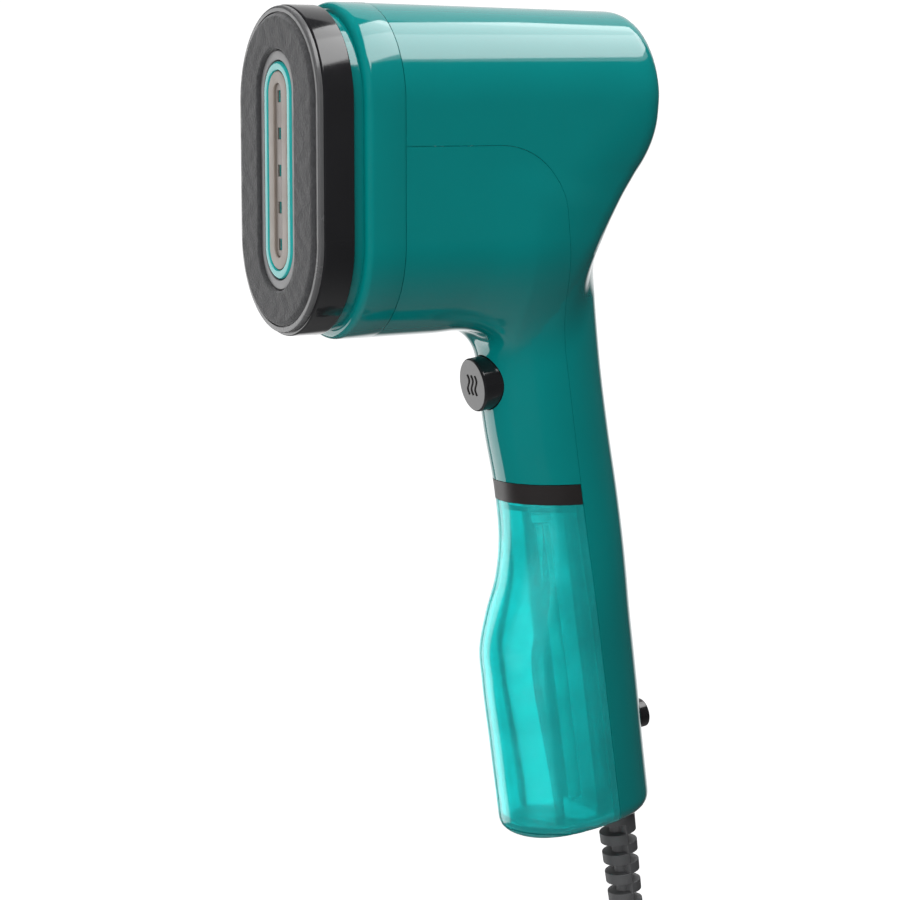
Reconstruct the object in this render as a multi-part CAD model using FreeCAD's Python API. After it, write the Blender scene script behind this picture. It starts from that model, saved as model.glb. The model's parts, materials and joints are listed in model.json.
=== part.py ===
import FreeCAD, Part
import math
import os

# Handheld garment steamer. Millimetres, +Z up. The steam face looks along -X, and Y = 0 is the
# plane of symmetry of the housing. The origin is the middle of the hand grip.

V = FreeCAD.Vector

# ---------------------------------------------------------------- driving dimensions
HEAD_Z = 119.3            # height of the head's centre line above the grip centre
HEAD_HALF_WIDTH = 28.9    # head section at the collar seam, a stadium standing on end
HEAD_HALF_HEIGHT = 48.1
HEAD_TAPER = 0.014        # loss of half width per millimetre towards the back
FACE_X = -96.0            # front of the fabric pad
BEZEL_FRONT_X = -93.4
BEZEL_BACK_X = -83.9
LIP_X = -80.4             # front edge of the collar
SEAM_X = -68.3            # collar to shell seam
HEAD_BACK_X = 20.6        # flat back of the head
HEAD_BACK_EDGE = 4.0      # rounding of the head's back rim
HEAD_SCOOP_TOP_Z = 137.0  # where the head's back starts to run in towards the handle
WALL = 2.2                # shell wall
TANK_WALL = 1.8
SEAM_GAP = 0.12
TILT = math.radians(8.0)  # lean of the handle: its foot lies towards +X
BAND_TOP_Z = 23.9         # top of the tank's black cap
BAND_BOTTOM_Z = 17.6
TANK_WELD_Z = -85.8       # join of the tank and its base
FOOT_Z = -91.0            # lowest point of the handle
RAIL_X = -3.2             # back of the tank at the height of the cap's top
TANK_GAP = 0.2            # gap between the tank and the handle's spine
TRIGGER_RADIUS = 8.25
TRIGGER_SWITCH_DEPTH = 22.4     # microswitch behind the trigger's face
POWER_BUTTON_RADIUS = 4.6
POWER_SWITCH_DEPTH = 10.5       # rocker switch behind the back surface
CORD_DIAMETER = 7.0
COIL_RADIUS = 42.0        # middle of the coil's turns
COIL_BUNDLE_RADIUS = 10.5
RELIEF_LENGTH = 46.0
RELIEF_RADIUS = 5.2
RELIEF_PITCH = 3.35       # from one slot of the strain relief to the next

# Handle sections from top to foot: height, front, back, half width.
HANDLE_SECTIONS = [
    (112.0, -33.1, 5.7, 19.4),
    (100.0, -31.9, 6.9, 19.0),
    (60.0, -27.8, 10.9, 17.5),
    (24.0, -21.6, 16.7, 17.5),
    (3.0, -19.7, 19.8, 18.0),
    (-12.0, -22.2, 21.8, 18.5),
    (-31.0, -26.5, 24.4, 19.0),
    (-56.0, -23.6, 27.5, 19.0),
    (-80.0, -20.1, 30.8, 19.0),
    (-88.0, -15.4, 30.0, 17.0),
    (FOOT_Z, -6.5, 23.0, 10.5),
]

# Underside of the head's back, from the back face down to the handle: (x, z).
HEAD_SCOOP = [(19.8, 130.2), (17.2, 124.0), (5.0, 104.3), (0.4, 96.3), (-2.0, 88.0)]

DOWN = V(math.sin(TILT), 0, -math.cos(TILT))      # along the handle, towards its foot
INWARD = V(math.cos(TILT), 0, math.sin(TILT))     # square to the handle, from front to back
SIDE = V(0, 1, 0)


# ---------------------------------------------------------------- helpers
def export(node, *solids):
    """Write one node's STEP file."""
    shape = solids[0] if len(solids) == 1 else Part.makeCompound(list(solids))
    shape.exportStep("parts/" + node + ".step")
    print(node, len(shape.Solids), round(shape.Volume / 1000.0, 2), "cm3", shape.isValid())


def box(x_range, y_range, z_range):
    size = [high - low for low, high in (x_range, y_range, z_range)]
    return Part.makeBox(size[0], size[1], size[2], V(x_range[0], y_range[0], z_range[0]))


def cylinder(start, direction, radius, length):
    return Part.makeCylinder(radius, length, start, direction)


def pipe(start, direction, outer, inner, length):
    return cylinder(start, direction, outer, length).cut(cylinder(start, direction, inner, length))


def stadium_wire(x, half_width, half_height, z=HEAD_Z):
    """Stadium outline standing in the plane at x, with round ends of half_width radius."""
    rise = half_height - half_width
    left, right, top, bottom = -half_width, half_width, z + rise, z - rise
    return Part.Wire([
        Part.makeLine(V(x, left, bottom), V(x, left, top)),
        Part.Arc(V(x, left, top), V(x, 0, top + half_width), V(x, right, top)).toShape(),
        Part.makeLine(V(x, right, top), V(x, right, bottom)),
        Part.Arc(V(x, right, bottom), V(x, 0, bottom - half_width), V(x, left, bottom)).toShape(),
    ])


def stadium(x_front, x_back, half_width, half_height):
    face = Part.Face(stadium_wire(x_front, half_width, half_height))
    return face.extrude(V(x_back - x_front, 0, 0))


def stadium_ring(x_front, x_back, outer, inner):
    """Straight-sided ring. outer and inner are half width and half height."""
    return stadium(x_front, x_back, *outer).cut(stadium(x_front, x_back, *inner))


def stadium_loft(sections):
    """Ruled solid through (x, half width, half height) sections."""
    return Part.makeLoft([stadium_wire(*section) for section in sections], True, True)


def side_prism(points, half_width=45.0):
    """Prism across Y from an outline of (x, z) points."""
    corners = [V(x, -half_width, z) for x, z in points]
    return Part.Face(Part.makePolygon(corners + corners[:1])).extrude(V(0, 2 * half_width, 0))


def bent_wire(points):
    """Straight runs joined by arcs that touch both runs."""
    edges = []
    start = points[0]
    for before, corner, after in zip(points, points[1:], points[2:]):
        back = (before - corner).normalize()
        ahead = (after - corner).normalize()
        reach = 0.45 * min(before.distanceToPoint(corner), after.distanceToPoint(corner))
        middle_way = (back + ahead).normalize()
        half_angle = back.getAngle(ahead) / 2.0
        to_centre = reach / math.cos(half_angle)
        radius = reach * math.tan(half_angle)
        first = corner + back * reach
        last = corner + ahead * reach
        middle = corner + middle_way * (to_centre - radius)
        edges.append(Part.LineSegment(start, first).toShape())
        edges.append(Part.Arc(first, middle, last).toShape())
        start = last
    edges.append(Part.LineSegment(start, points[-1]).toShape())
    return Part.Wire(edges)


def rod_along(points, radius):
    """Solid round rod along a bent route."""
    path = bent_wire(points)
    direction = (points[1] - points[0]).normalize()
    circle = Part.Wire([Part.Circle(points[0], direction, radius).toShape()])
    return path.makePipeShell([circle], True, False)


def spring(start, direction, radius, wire, length, turns):
    """Open coil spring along direction, built as six arcs a turn."""
    body = length - 2.0 * wire
    step = math.pi / 3.0

    def helix_point(angle):
        rise = wire + body * angle / (2.0 * math.pi * turns)
        return V(radius * math.cos(angle), radius * math.sin(angle), rise)

    arcs = []
    for count in range(6 * turns):
        angle = count * step
        arc = Part.Arc(helix_point(angle), helix_point(angle + step / 2), helix_point(angle + step))
        arcs.append(arc.toShape())
    circle = Part.Wire([Part.Circle(helix_point(0.0), V(0, 1, 0), wire).toShape()])
    coil = Part.Wire(arcs).makePipeShell([circle], True, False)
    turn = FreeCAD.Rotation(V(0, 0, 1), direction)
    return coil.transformed(FreeCAD.Placement(start, turn).toMatrix(), True)


# ---------------------------------------------------------------- outer form
def rail_x(z):
    """Plane between the tank and the spine, leaning with the handle."""
    return RAIL_X + (BAND_TOP_Z - z) * math.tan(TILT)


def handle_form(inset):
    """Handle body, all its sections drawn in by inset."""
    wires = []
    for z, front, back, half_width in HANDLE_SECTIONS:
        height = z + (inset if z < -70.0 else 0.0)
        half_depth = (back - front) / 2.0 - inset
        centre = V((back + front) / 2.0, 0, height)
        ellipse = Part.Ellipse(centre, half_depth, half_width - inset)
        wires.append(Part.Wire([ellipse.toShape()]))
    return Part.makeLoft(wires, True, False)


def head_form(inset, x_front):
    """Head body from x_front to its flat back, scooped out below towards the handle."""
    x_back = HEAD_BACK_X - inset
    sections = []
    for x in (x_front, x_back):
        loss = HEAD_TAPER * (x - SEAM_X) + inset
        sections.append((x, HEAD_HALF_WIDTH - loss, HEAD_HALF_HEIGHT - loss))
    barrel = stadium_loft(sections)
    rim = [e for e in barrel.Edges if e.BoundBox.XMin > x_back - 0.01]
    barrel = barrel.makeFillet(HEAD_BACK_EDGE - inset, rim)
    top = V(HEAD_BACK_X, -45, HEAD_SCOOP_TOP_Z)
    bulge, tail, waist, bend, nape = [V(x, -45, z) for x, z in HEAD_SCOOP]
    corners = [nape, V(nape.x, -45, 60), V(-90, -45, 60), V(-90, -45, 180),
               V(HEAD_BACK_X, -45, 180), top]
    edges = [
        Part.Arc(top, bulge, tail).toShape(),
        Part.makeLine(tail, waist),
        Part.Arc(waist, bend, nape).toShape(),
    ]
    edges += [Part.makeLine(a, b) for a, b in zip(corners, corners[1:])]
    outline = Part.Face(Part.Wire(Part.__sortEdges__(edges)))
    outline.translate(V(-inset, 0, 0))
    return barrel.common(outline.extrude(V(0, 90, 0)))


def body_form(inset, x_front=SEAM_X):
    return head_form(inset, x_front).fuse(handle_form(inset)).removeSplitter()


def tank_zone(grow):
    """Space in front of the spine and under the dock, grown on its inner sides."""
    top = BAND_TOP_Z + grow
    return side_prism([
        (-70.0, top),
        (rail_x(top) + grow, top),
        (rail_x(-110.0) + grow, -110.0),
        (-70.0, -110.0),
    ])


def seam_zone(shift):
    """Everything below and in front of the seam between the front and rear shells."""
    level = 126.4 - shift
    bend = 22.0
    foot_x = rail_x(level) - shift
    sweep = math.tan((math.pi / 2 - TILT) / 2) * bend
    start = V(foot_x - sweep, -45, level)
    end = V(foot_x, -45, level) + DOWN * sweep
    centre = start - V(0, 0, bend)
    aim = ((start - centre).normalize() + (end - centre).normalize()).normalize()
    low = V(rail_x(BAND_TOP_Z) - shift, -45, BAND_TOP_Z)
    points = [end, low, V(-90, -45, BAND_TOP_Z), V(-90, -45, level), start]
    edges = [Part.Arc(start, centre + aim * bend, end).toShape()]
    edges += [Part.makeLine(a, b) for a, b in zip(points, points[1:])]
    return Part.Face(Part.Wire(Part.__sortEdges__(edges))).extrude(V(0, 90, 0))


# ---------------------------------------------------------------- places that several pieces share
DOCK = V(-11.5, -5.0, BAND_TOP_Z)          # water outlet, where it crosses the cap's top
FILLER = V(-11.5, 6.8, BAND_TOP_Z)
TRIGGER_FACE = V(-31.4, 0, 53.8)
POWER_FACE = V(29.5, 0, -55.0)             # where the button's axis meets the handle's back
CORD_GLAND = V(21.8, 0, -91.6)             # centre of the cord's hole in the handle's foot
PUMP_Z = 132.0
BOARD_Z = 96.0
BOARD_POSTS = [V(x, y, 0) for x in (-52.0, -20.0) for y in (-15.0, 15.0)]
COLLAR_SCREWS = [V(0, y, HEAD_Z + z) for y in (-21.3, 21.3) for z in (-15.0, 15.0)]
SPINE_SCREWS = [V(rail_x(z), 0, z) for z in (8.0, -26.0)]
COIL_CENTRE = V(42.2, 0, -215.5)
TILT_TURN = FreeCAD.Rotation(SIDE, -math.degrees(TILT))


def trigger_point(depth):
    """Point on the trigger's axis at a depth behind its face."""
    return TRIGGER_FACE + INWARD * depth


def power_point(depth):
    """Point on the power button's axis at a depth inside the handle's back surface."""
    return POWER_FACE - INWARD * depth


# ---------------------------------------------------------------- shells
def make_shells():
    outer = body_form(0.0)
    inner = body_form(WALL, SEAM_X - 2.0)
    hollow = inner.cut(tank_zone(WALL))
    walls = outer.cut(tank_zone(0.0)).cut(hollow)
    lining = side_prism([
        (rail_x(BAND_TOP_Z + WALL) - 1.5, BAND_TOP_Z + WALL),
        (rail_x(BAND_TOP_Z + WALL) + WALL, BAND_TOP_Z + WALL),
        (rail_x(-110.0) + WALL, -110.0),
        (rail_x(-110.0) - 1.5, -110.0),
    ])
    front = walls.common(seam_zone(SEAM_GAP / 2))
    front = front.fuse(walls.common(lining).common(body_form(WALL + SEAM_GAP, SEAM_X)))
    rear = walls.cut(seam_zone(-SEAM_GAP / 2)).cut(lining.common(body_form(WALL, SEAM_X)))

    for post in BOARD_POSTS:
        post_body = cylinder(V(post.x, post.y, 74.0), V(0, 0, 1), 2.6, BOARD_Z - 74.0)
        front = front.fuse(post_body.common(body_form(WALL - 0.5, SEAM_X)))
    for side in (-1, 1):
        span = sorted((side * 21.5, side * 29.0))
        front_ledge = box((-38, -26), span, (110.5, 113.0))
        rear_ledge = box((-14.5, -3), span, (110.5, 113.0))
        front = front.fuse(front_ledge.common(body_form(WALL - 0.5, SEAM_X)))
        rear = rear.fuse(rear_ledge.common(body_form(WALL - 0.5, SEAM_X)))
    front = front.cut(cylinder(trigger_point(-5), INWARD, TRIGGER_RADIUS + 0.3, 20))
    front = front.cut(cylinder(trigger_point(9.7), INWARD, 9.7, 6))
    front = front.cut(cylinder(DOCK - DOWN * 10, DOWN, 3.6, 20))
    for screw in SPINE_SCREWS:
        front = front.cut(cylinder(screw - INWARD * 5, INWARD, 1.7, 20))
        boss = pipe(screw + INWARD * (WALL + 0.4), INWARD, 3.2, 1.5, 40)
        rear = rear.fuse(boss.common(body_form(WALL - 0.5, SEAM_X)))
    rear = rear.cut(cylinder(power_point(-10), INWARD * -1, POWER_BUTTON_RADIUS + 0.15, 20))
    rear = rear.cut(cylinder(CORD_GLAND - DOWN * 10, DOWN, 4.3, 20))
    export("front_shell", front.removeSplitter())
    export("rear_shell", rear.removeSplitter())


def make_collar():
    lip = 2.2
    body = stadium(LIP_X, SEAM_X - SEAM_GAP, HEAD_HALF_WIDTH + 0.1, HEAD_HALF_HEIGHT + 0.1)
    front_edges = [e for e in body.Edges if e.BoundBox.XMax < LIP_X + 0.01]
    body = body.makeFillet(lip, front_edges)
    body = body.fuse(stadium(BEZEL_BACK_X + 0.1, LIP_X + 1, 26.2, 45.4))
    body = body.fuse(stadium(SEAM_X - 1, SEAM_X + 5, 26.4, 45.6))
    body = body.cut(stadium(-90, -60, 24.0, 43.2))
    for screw in COLLAR_SCREWS:
        side = 1 if screw.y > 0 else -1
        block = box((BEZEL_BACK_X + 0.1, -72), sorted((side * 18.6, side * 24.5)),
                    (screw.z - 3.0, screw.z + 3.0))
        body = body.fuse(block)
        body = body.cut(cylinder(V(-90, screw.y, screw.z), V(1, 0, 0), 1.3, 17))
    export("front_collar", body.removeSplitter())


# ---------------------------------------------------------------- steam head
def make_bezel():
    ring = stadium(BEZEL_FRONT_X, BEZEL_BACK_X, 27.9, 47.2)
    edges = [e for e in ring.Edges if e.BoundBox.XLength < 0.01]
    ring = ring.makeFillet(0.6, edges)
    ring = ring.cut(stadium(-95, -86, 24.3, 43.6)).cut(stadium(-95, -80, 18.4, 40.4))
    for screw in COLLAR_SCREWS:
        ring = ring.cut(cylinder(V(-90, screw.y, screw.z), V(1, 0, 0), 1.7, 10))
        ring = ring.cut(cylinder(V(-90, screw.y, screw.z), V(1, 0, 0), 2.5, 5.4))
    export("head_bezel", ring)
    screws = []
    for screw in COLLAR_SCREWS:
        head = cylinder(V(-85.9, screw.y, screw.z), V(1, 0, 0), 2.4, 1.2)
        shank = cylinder(V(-85.9, screw.y, screw.z), V(1, 0, 0), 1.25, 12)
        cross = [box((-86, -85.3), (screw.y - 1.4, screw.y + 1.4), (screw.z - 0.3, screw.z + 0.3)),
                 box((-86, -85.3), (screw.y - 0.3, screw.y + 0.3), (screw.z - 1.4, screw.z + 1.4))]
        screws.append(head.fuse(shank).cut(cross[0]).cut(cross[1]))
    export("collar_screws", *screws)


def make_pad():
    pad = stadium(FACE_X, -93.95, 25.6, 44.9)
    edges = [e for e in pad.Edges if e.BoundBox.XMax < FACE_X + 0.01]
    pad = pad.makeFillet(1.2, edges).cut(stadium(-97, -90, 12.3, 34.6))
    export("fabric_pad", pad)
    frame = stadium_loft([(-94.8, 26.2, 45.5), (-93.9, 27.6, 46.9)])
    frame = frame.cut(stadium(-97, -90, 25.65, 44.95))
    frame = frame.fuse(stadium(-93.9, -93.45, 27.6, 46.9)).fuse(stadium(-93.5, -91.8, 24.0, 43.3))
    frame = frame.cut(stadium(-97, -90, 12.7, 35.0))
    frame = frame.fuse(stadium_ring(-91.9, -87.2, (24.0, 43.3), (22.6, 41.9)))
    export("pad_frame", frame.removeSplitter())


def make_face():
    vent = stadium_ring(-95.0, -90.2, (12.0, 34.3), (9.55, 31.45))
    vent = vent.fuse(stadium_ring(-91.3, -90.2, (16.5, 38.5), (9.55, 31.45)))
    export("vent_surround", vent.removeSplitter())
    accent = stadium(-95.3, -91.4, 9.3, 31.2)
    edges = [e for e in accent.Edges if e.BoundBox.XMax < -95.29]
    accent = accent.makeFillet(0.5, edges).cut(stadium(-97, -90, 6.6, 28.6))
    export("accent_ring", accent)
    plate = stadium(-95.1, -91.4, 6.45, 28.45).cut(stadium(-97, -90, 2.6, 24.9))
    export("steam_plate", plate)
    strip = stadium(-94.5, -91.4, 2.5, 24.8)
    for step in range(-2, 3):
        strip = strip.cut(box((-97, -90), (-1.1, 1.1),
                              (HEAD_Z + 10.6 * step - 1.7, HEAD_Z + 10.6 * step + 1.7)))
    export("nozzle_strip", strip)


def heater_route():
    return [V(-56, -8, 147), V(-74, -8, 147), V(-74, -8, 90),
            V(-74, 8, 90), V(-74, 8, 147), V(-56, 8, 147)]


def make_steam_chamber():
    body = stadium(-90.1, -66.6, 14.0, 36.0).fuse(stadium(-91.3, -90.0, 9.3, 31.2))
    body = body.cut(stadium(-91.4, -80.0, 7.5, 29.5).cut(stadium(-84.0, -79.0, 3.0, 25.0)))
    body = body.cut(stadium_ring(-70.0, -66.0, (12.5, 34.5), (11.9, 33.9)))
    element = rod_along(heater_route(), 3.2)
    body = body.cut(rod_along(heater_route(), 3.25))
    cover = stadium(-66.0, -63.5, 14.0, 36.0).cut(rod_along(heater_route(), 3.4))
    inlet = cylinder(V(-64, 0, PUMP_Z), V(1, 0, 0), 2.6, 7)
    cover = cover.fuse(inlet).cut(cylinder(V(-70, 0, PUMP_Z), V(1, 0, 0), 1.0, 20))
    gasket = stadium_ring(-66.55, -66.05, (13.8, 35.8), (10.4, 32.4))
    gasket = gasket.cut(rod_along(heater_route(), 3.4))
    screws = []
    for y in (-11.3, 11.3):
        for z in (HEAD_Z - 22, HEAD_Z + 22):
            shank = cylinder(V(-70.0, y, z), V(1, 0, 0), 1.4, 6.6)
            hole = cylinder(V(-70.2, y, z), V(1, 0, 0), 1.5, 10)
            head = cylinder(V(-63.45, y, z), V(1, 0, 0), 2.5, 1.8)
            body = body.cut(hole)
            cover = cover.cut(hole)
            gasket = gasket.cut(hole)
            screws.append(head.fuse(shank).cut(
                box((-62.4, -61), (y - 2.6, y + 2.6), (z - 0.35, z + 0.35))))
    export("steam_chamber", body)
    export("chamber_cover", cover)
    export("chamber_gasket", gasket)
    export("heating_element", element)
    export("chamber_screws", *screws)
    can = cylinder(V(-63.4, 0, 101), V(1, 0, 0), 7.0, 4.5)
    tabs = [box((-58.95, -54.5), (y - 1.6, y + 1.6), (100.6, 101.4)) for y in (-4.5, 4.5)]
    export("thermostat", can.fuse(tabs[0]).fuse(tabs[1]))
    fuse_body = cylinder(V(-61.2, -5.5, 115.5), SIDE, 1.9, 11)
    leads = cylinder(V(-61.2, -9.5, 115.5), SIDE, 0.5, 19)
    clip = box((-63.4, -60.8), (-1.5, 1.5), (112.8, 118.2)).cut(
        cylinder(V(-61.2, -10, 115.5), SIDE, 1.9, 20))
    export("thermal_fuse", fuse_body.fuse(leads).fuse(clip))
    shield = stadium_ring(-89.0, -61.0, (17.6, 39.6), (17.0, 39.0))
    for side in (-1, 1):
        shield = shield.fuse(box((-80, -76), sorted((side * 14.05, side * 17.3)), (117, 121)))
    export("heat_shield", shield)


# ---------------------------------------------------------------- pump and water path
def make_pump():
    axis = V(1, 0, 0)
    body = cylinder(V(-44, 0, PUMP_Z), axis, 4.5, 44)
    body = body.fuse(cylinder(V(-51, 0, PUMP_Z), axis, 2.0, 58))
    body = body.cut(cylinder(V(-52, 0, PUMP_Z), axis, 0.9, 60))
    body = body.cut(cylinder(V(-32, 0, PUMP_Z), axis, 3.0, 28))
    export("pump_body", body)
    plunger = pipe(V(-22, 0, PUMP_Z), axis, 2.95, 0.9, 17)
    export("pump_plunger", plunger)
    export("pump_spring", spring(V(-32, 0, PUMP_Z), axis, 2.3, 0.35, 10.0, 5))
    coil = pipe(V(-30, 0, PUMP_Z), axis, 11.5, 4.6, 20)
    flanges = [pipe(V(x, 0, PUMP_Z), axis, 12.5, 4.6, 1.2) for x in (-31.2, -10.0)]
    export("pump_coil", coil.fuse(flanges[0]).fuse(flanges[1]))
    bracket = box((-39, -3), (-23, 23), (113.05, 114.55))
    for x in (-37.0, -6.5):
        upright = box((x, x + 1.5), (-11, 11), (114.5, 143.0))
        bracket = bracket.fuse(upright.cut(cylinder(V(x - 1, 0, PUMP_Z), axis, 7.0, 4)))
    export("pump_bracket", bracket.removeSplitter())
    mounts = []
    for x in (-37.0, -6.5):
        bush = pipe(V(x - 1.2, 0, PUMP_Z), axis, 8.3, 4.55, 3.9)
        groove = pipe(V(x, 0, PUMP_Z), axis, 9.0, 6.9, 1.5)
        mounts.append(bush.cut(groove))
    export("pump_mounts", *mounts)
    export("delivery_hose", pipe(V(-59.5, 0, PUMP_Z), axis, 3.6, 2.65, 6.0).fuse(
        pipe(V(-53.5, 0, PUMP_Z), axis, 3.6, 2.05, 8.5)).cut(
        cylinder(V(-58.0, 0, PUMP_Z), axis, 2.65, 4.5)))


def dock_point(depth):
    return DOCK + DOWN * depth


def make_dock():
    flange_top = dock_point(-5.5)
    dock = cylinder(flange_top, DOWN, 5.2, 2.0)
    dock = dock.fuse(cylinder(flange_top, DOWN, 3.2, 8.9))
    dock = dock.fuse(cylinder(dock_point(-12.0), DOWN, 2.0, 8.0))
    dock = dock.cut(cylinder(dock_point(-13), DOWN, 1.1, 20))
    export("tank_dock", dock)
    top = dock_point(-12.0)
    start = dock_point(-8.2)
    route = [start, top - DOWN * 3, V(-3.0, -3.0, 39.0), V(5.0, 0, 46.0), V(5.2, 0, 60.0),
             V(3.2, 0, 77.0), V(1.4, 0, 90.0), V(-0.2, 0, 102.0), V(1.6, 0, 112.5),
             V(9.8, 0, 123.0), V(12.2, 0, PUMP_Z), V(2.5, 0, PUMP_Z)]
    hose = rod_along(route, 3.0)
    bore = rod_along(route, 2.05)
    export("suction_hose", hose.cut(bore))


# ---------------------------------------------------------------- electrics
def make_board():
    board = box((-56, -16), (-18.5, 18.5), (BOARD_Z, BOARD_Z + 1.6))
    screws = []
    for post in BOARD_POSTS:
        board = board.cut(cylinder(V(post.x, post.y, BOARD_Z - 1), V(0, 0, 1), 1.6, 4))
        head = cylinder(V(post.x, post.y, BOARD_Z + 1.65), V(0, 0, 1), 2.6, 1.6)
        screws.append(head)
    export("control_board", board)
    top = BOARD_Z + 1.65
    relay = box((-48, -35), (-15, -3), (top, top + 11))
    capacitor = box((-48, -34), (5, 13), (top, top + 10))
    resistor = cylinder(V(-46, 1, top + 2.2), V(1, 0, 0), 2.0, 10)
    triac = box((-32, -24), (-12, -7.5), (top, top + 11)).fuse(
        box((-32, -24), (-12, -10.7), (top + 10.5, top + 14)))
    connector = box((-23, -17), (-9, 9), (top, top + 7))
    fuse = cylinder(V(-32, 5, top + 3), V(0, 1, 0), 2.6, 11)
    export("board_parts", relay, capacitor, resistor, triac, connector, fuse, *screws)


def make_trigger():
    button = cylinder(trigger_point(0), INWARD, TRIGGER_RADIUS, 12.0)
    rims = [e for e in button.Edges if e.BoundBox.DiagonalLength > 10
            and e.CenterOfMass.distanceToPoint(trigger_point(0)) < 0.1]
    button = button.makeFillet(0.8, rims)
    button = button.fuse(cylinder(trigger_point(10.2), INWARD, 9.2, 1.8))
    button = button.cut(cylinder(trigger_point(2.5), INWARD, 7.2, 10))
    button = button.fuse(cylinder(trigger_point(2.0), INWARD, 1.5, 18.0))
    export("steam_trigger", button.removeSplitter())
    guide = cylinder(trigger_point(5.6), INWARD, 10.6, 13.0)
    guide = guide.cut(cylinder(trigger_point(5.0), INWARD, TRIGGER_RADIUS + 0.1, 12.1))
    guide = guide.cut(cylinder(trigger_point(10.0), INWARD, 9.5, 7.1))
    guide = guide.cut(cylinder(trigger_point(10.0), INWARD, 1.8, 20))
    guide = guide.common(body_form(WALL + 0.1, SEAM_X))
    export("trigger_guide", guide)
    export("trigger_spring", spring(trigger_point(2.55), INWARD, 5.2, 0.45, 14.4, 5))
    plunger_start = trigger_point(20.05)
    export("microswitch_plunger", cylinder(plunger_start, INWARD, 1.25, 4.4))
    turn = FreeCAD.Rotation(SIDE, -math.degrees(TILT))
    switch = Part.makeBox(8.0, 20.0, 11.0, V(TRIGGER_SWITCH_DEPTH, -10.0, -5.5))
    for y in (-6.5, 6.5):
        switch = switch.cut(cylinder(V(20, y, -3.3), V(1, 0, 0), 1.2, 12))
    switch = switch.cut(cylinder(V(TRIGGER_SWITCH_DEPTH - 0.1, 0, 0), V(1, 0, 0), 1.3, 5.2))
    terminal_x = TRIGGER_SWITCH_DEPTH + 7.9
    terminals = [Part.makeBox(2.6, 0.8, 3.0, V(terminal_x, y, -1.5)) for y in (-7.0, 0.0, 7.0)]
    for terminal in terminals:
        switch = switch.fuse(terminal)
    switch = switch.transformed(FreeCAD.Placement(TRIGGER_FACE, turn).toMatrix(), True)
    export("microswitch", switch)


def make_power_button():
    out = INWARD * -1
    button = cylinder(power_point(-1.4), out, POWER_BUTTON_RADIUS, 7.0)
    rims = [e for e in button.Edges if e.BoundBox.DiagonalLength > 6
            and e.CenterOfMass.distanceToPoint(power_point(-1.4)) < 0.1]
    button = button.makeFillet(0.5, rims)
    button = button.fuse(cylinder(power_point(5.45), out, 5.3, 1.2))
    button = button.fuse(cylinder(power_point(6.0), out, 1.5, POWER_SWITCH_DEPTH - 4.0))
    export("power_button", button.removeSplitter())
    export("power_button_spring", spring(power_point(6.7), out, 2.6, 0.3, 3.7, 3))
    turn = FreeCAD.Rotation(SIDE, 180.0 - math.degrees(TILT))
    switch = Part.makeBox(8.0, 16.0, 12.0, V(POWER_SWITCH_DEPTH, -8.0, -6.0))
    switch = switch.cut(cylinder(V(POWER_SWITCH_DEPTH - 1.0, 0, 0), V(1, 0, 0), 1.6, 6.0))
    for y in (-5.0, 5.0):
        switch = switch.fuse(Part.makeBox(4.0, 4.0, 0.8, V(POWER_SWITCH_DEPTH + 2.0, y - 2.0, -0.4)).translated(
            V(0, 0, 6.2)))
    switch = switch.transformed(FreeCAD.Placement(POWER_FACE, turn).toMatrix(), True)
    export("power_switch", switch.removeSplitter())


def make_cord_entry():
    block_bottom, block_top = -71.0, -64.0
    middle = (block_bottom + block_top) / 2.0
    block = box((13.0, 21.5), (-10.5, 10.5), (block_bottom, block_top))
    screws = []
    for y in (-7.0, 0.0, 7.0):
        block = block.cut(cylinder(V(10, y, middle), V(1, 0, 0), 1.9, 20))
        screw = cylinder(V(18.0, y, middle), V(1, 0, 0), 1.8, 3.0)
        screws.append(screw.cut(box((20.2, 22), (y - 2, y + 2), (middle - 0.3, middle + 0.3))))
    export("terminal_block", block, *screws)
    clamp_z = -81.4
    clamp = box((14.3, 16.6), (-10.3, 10.3), (clamp_z - 2.4, clamp_z + 2.4))
    clamp_screws = []
    for y in (-7.2, 7.2):
        clamp = clamp.cut(cylinder(V(10, y, clamp_z), V(1, 0, 0), 1.5, 20))
        clamp = clamp.cut(cylinder(V(10, y, clamp_z), V(1, 0, 0), 2.3, 5.7))
        head = cylinder(V(14.4, y, clamp_z), V(1, 0, 0), 2.2, 1.2)
        clamp_screws.append(head.fuse(cylinder(V(14.4, y, clamp_z), V(1, 0, 0), 1.4, 9.8)))
    export("cord_clamp", clamp)
    export("cord_clamp_screws", *clamp_screws)
    sheath_start = CORD_GLAND - DOWN * 3.9
    sheath_end = sheath_start - DOWN * 10.4
    sheath = cylinder(sheath_start, DOWN * -1, CORD_DIAMETER / 2.0, 10.4)
    wires = []
    for side in (-1, 0, 1):
        start = sheath_end + V(0, side * 2.0, 0.1)
        if side:
            route = [start, start + V(0, side * 2.4, 3.0), V(start.x, side * 7.0, block_bottom - 0.5)]
            wires.append(rod_along(route, 0.9))
        else:
            wires.append(cylinder(start, V(0, 0, 1), 0.9, block_bottom - 0.1 - start.z))
    for side in (-1, 1):
        route = [V(16.5, side * 9.6, block_top + 0.3), V(15.8, side * 11.2, -50.0),
                 V(11.5, side * 11.0, -10.0), V(5.6, side * 9.0, 30.0), V(2.8, side * 8.1, 60.0),
                 V(-4.0, side * 9.0, 80.0), V(-18.0, side * 10.5, BOARD_Z - 1.0)]
        wires.append(rod_along(route, 0.9))
    export("supply_wires", sheath, *wires)
    leads = []
    for side in (-1, 1):
        route = [V(-55.2, side * 8.0, 147.0), V(-48.0, side * 12.0, 147.0),
                 V(-44.0, side * 17.6, 130.0), V(-42.0, side * 17.4, 112.0),
                 V(-41.0, side * 17.0, BOARD_Z + 2.2)]
        leads.append(rod_along(route, 1.1))
    export("heater_leads", *leads)


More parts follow.
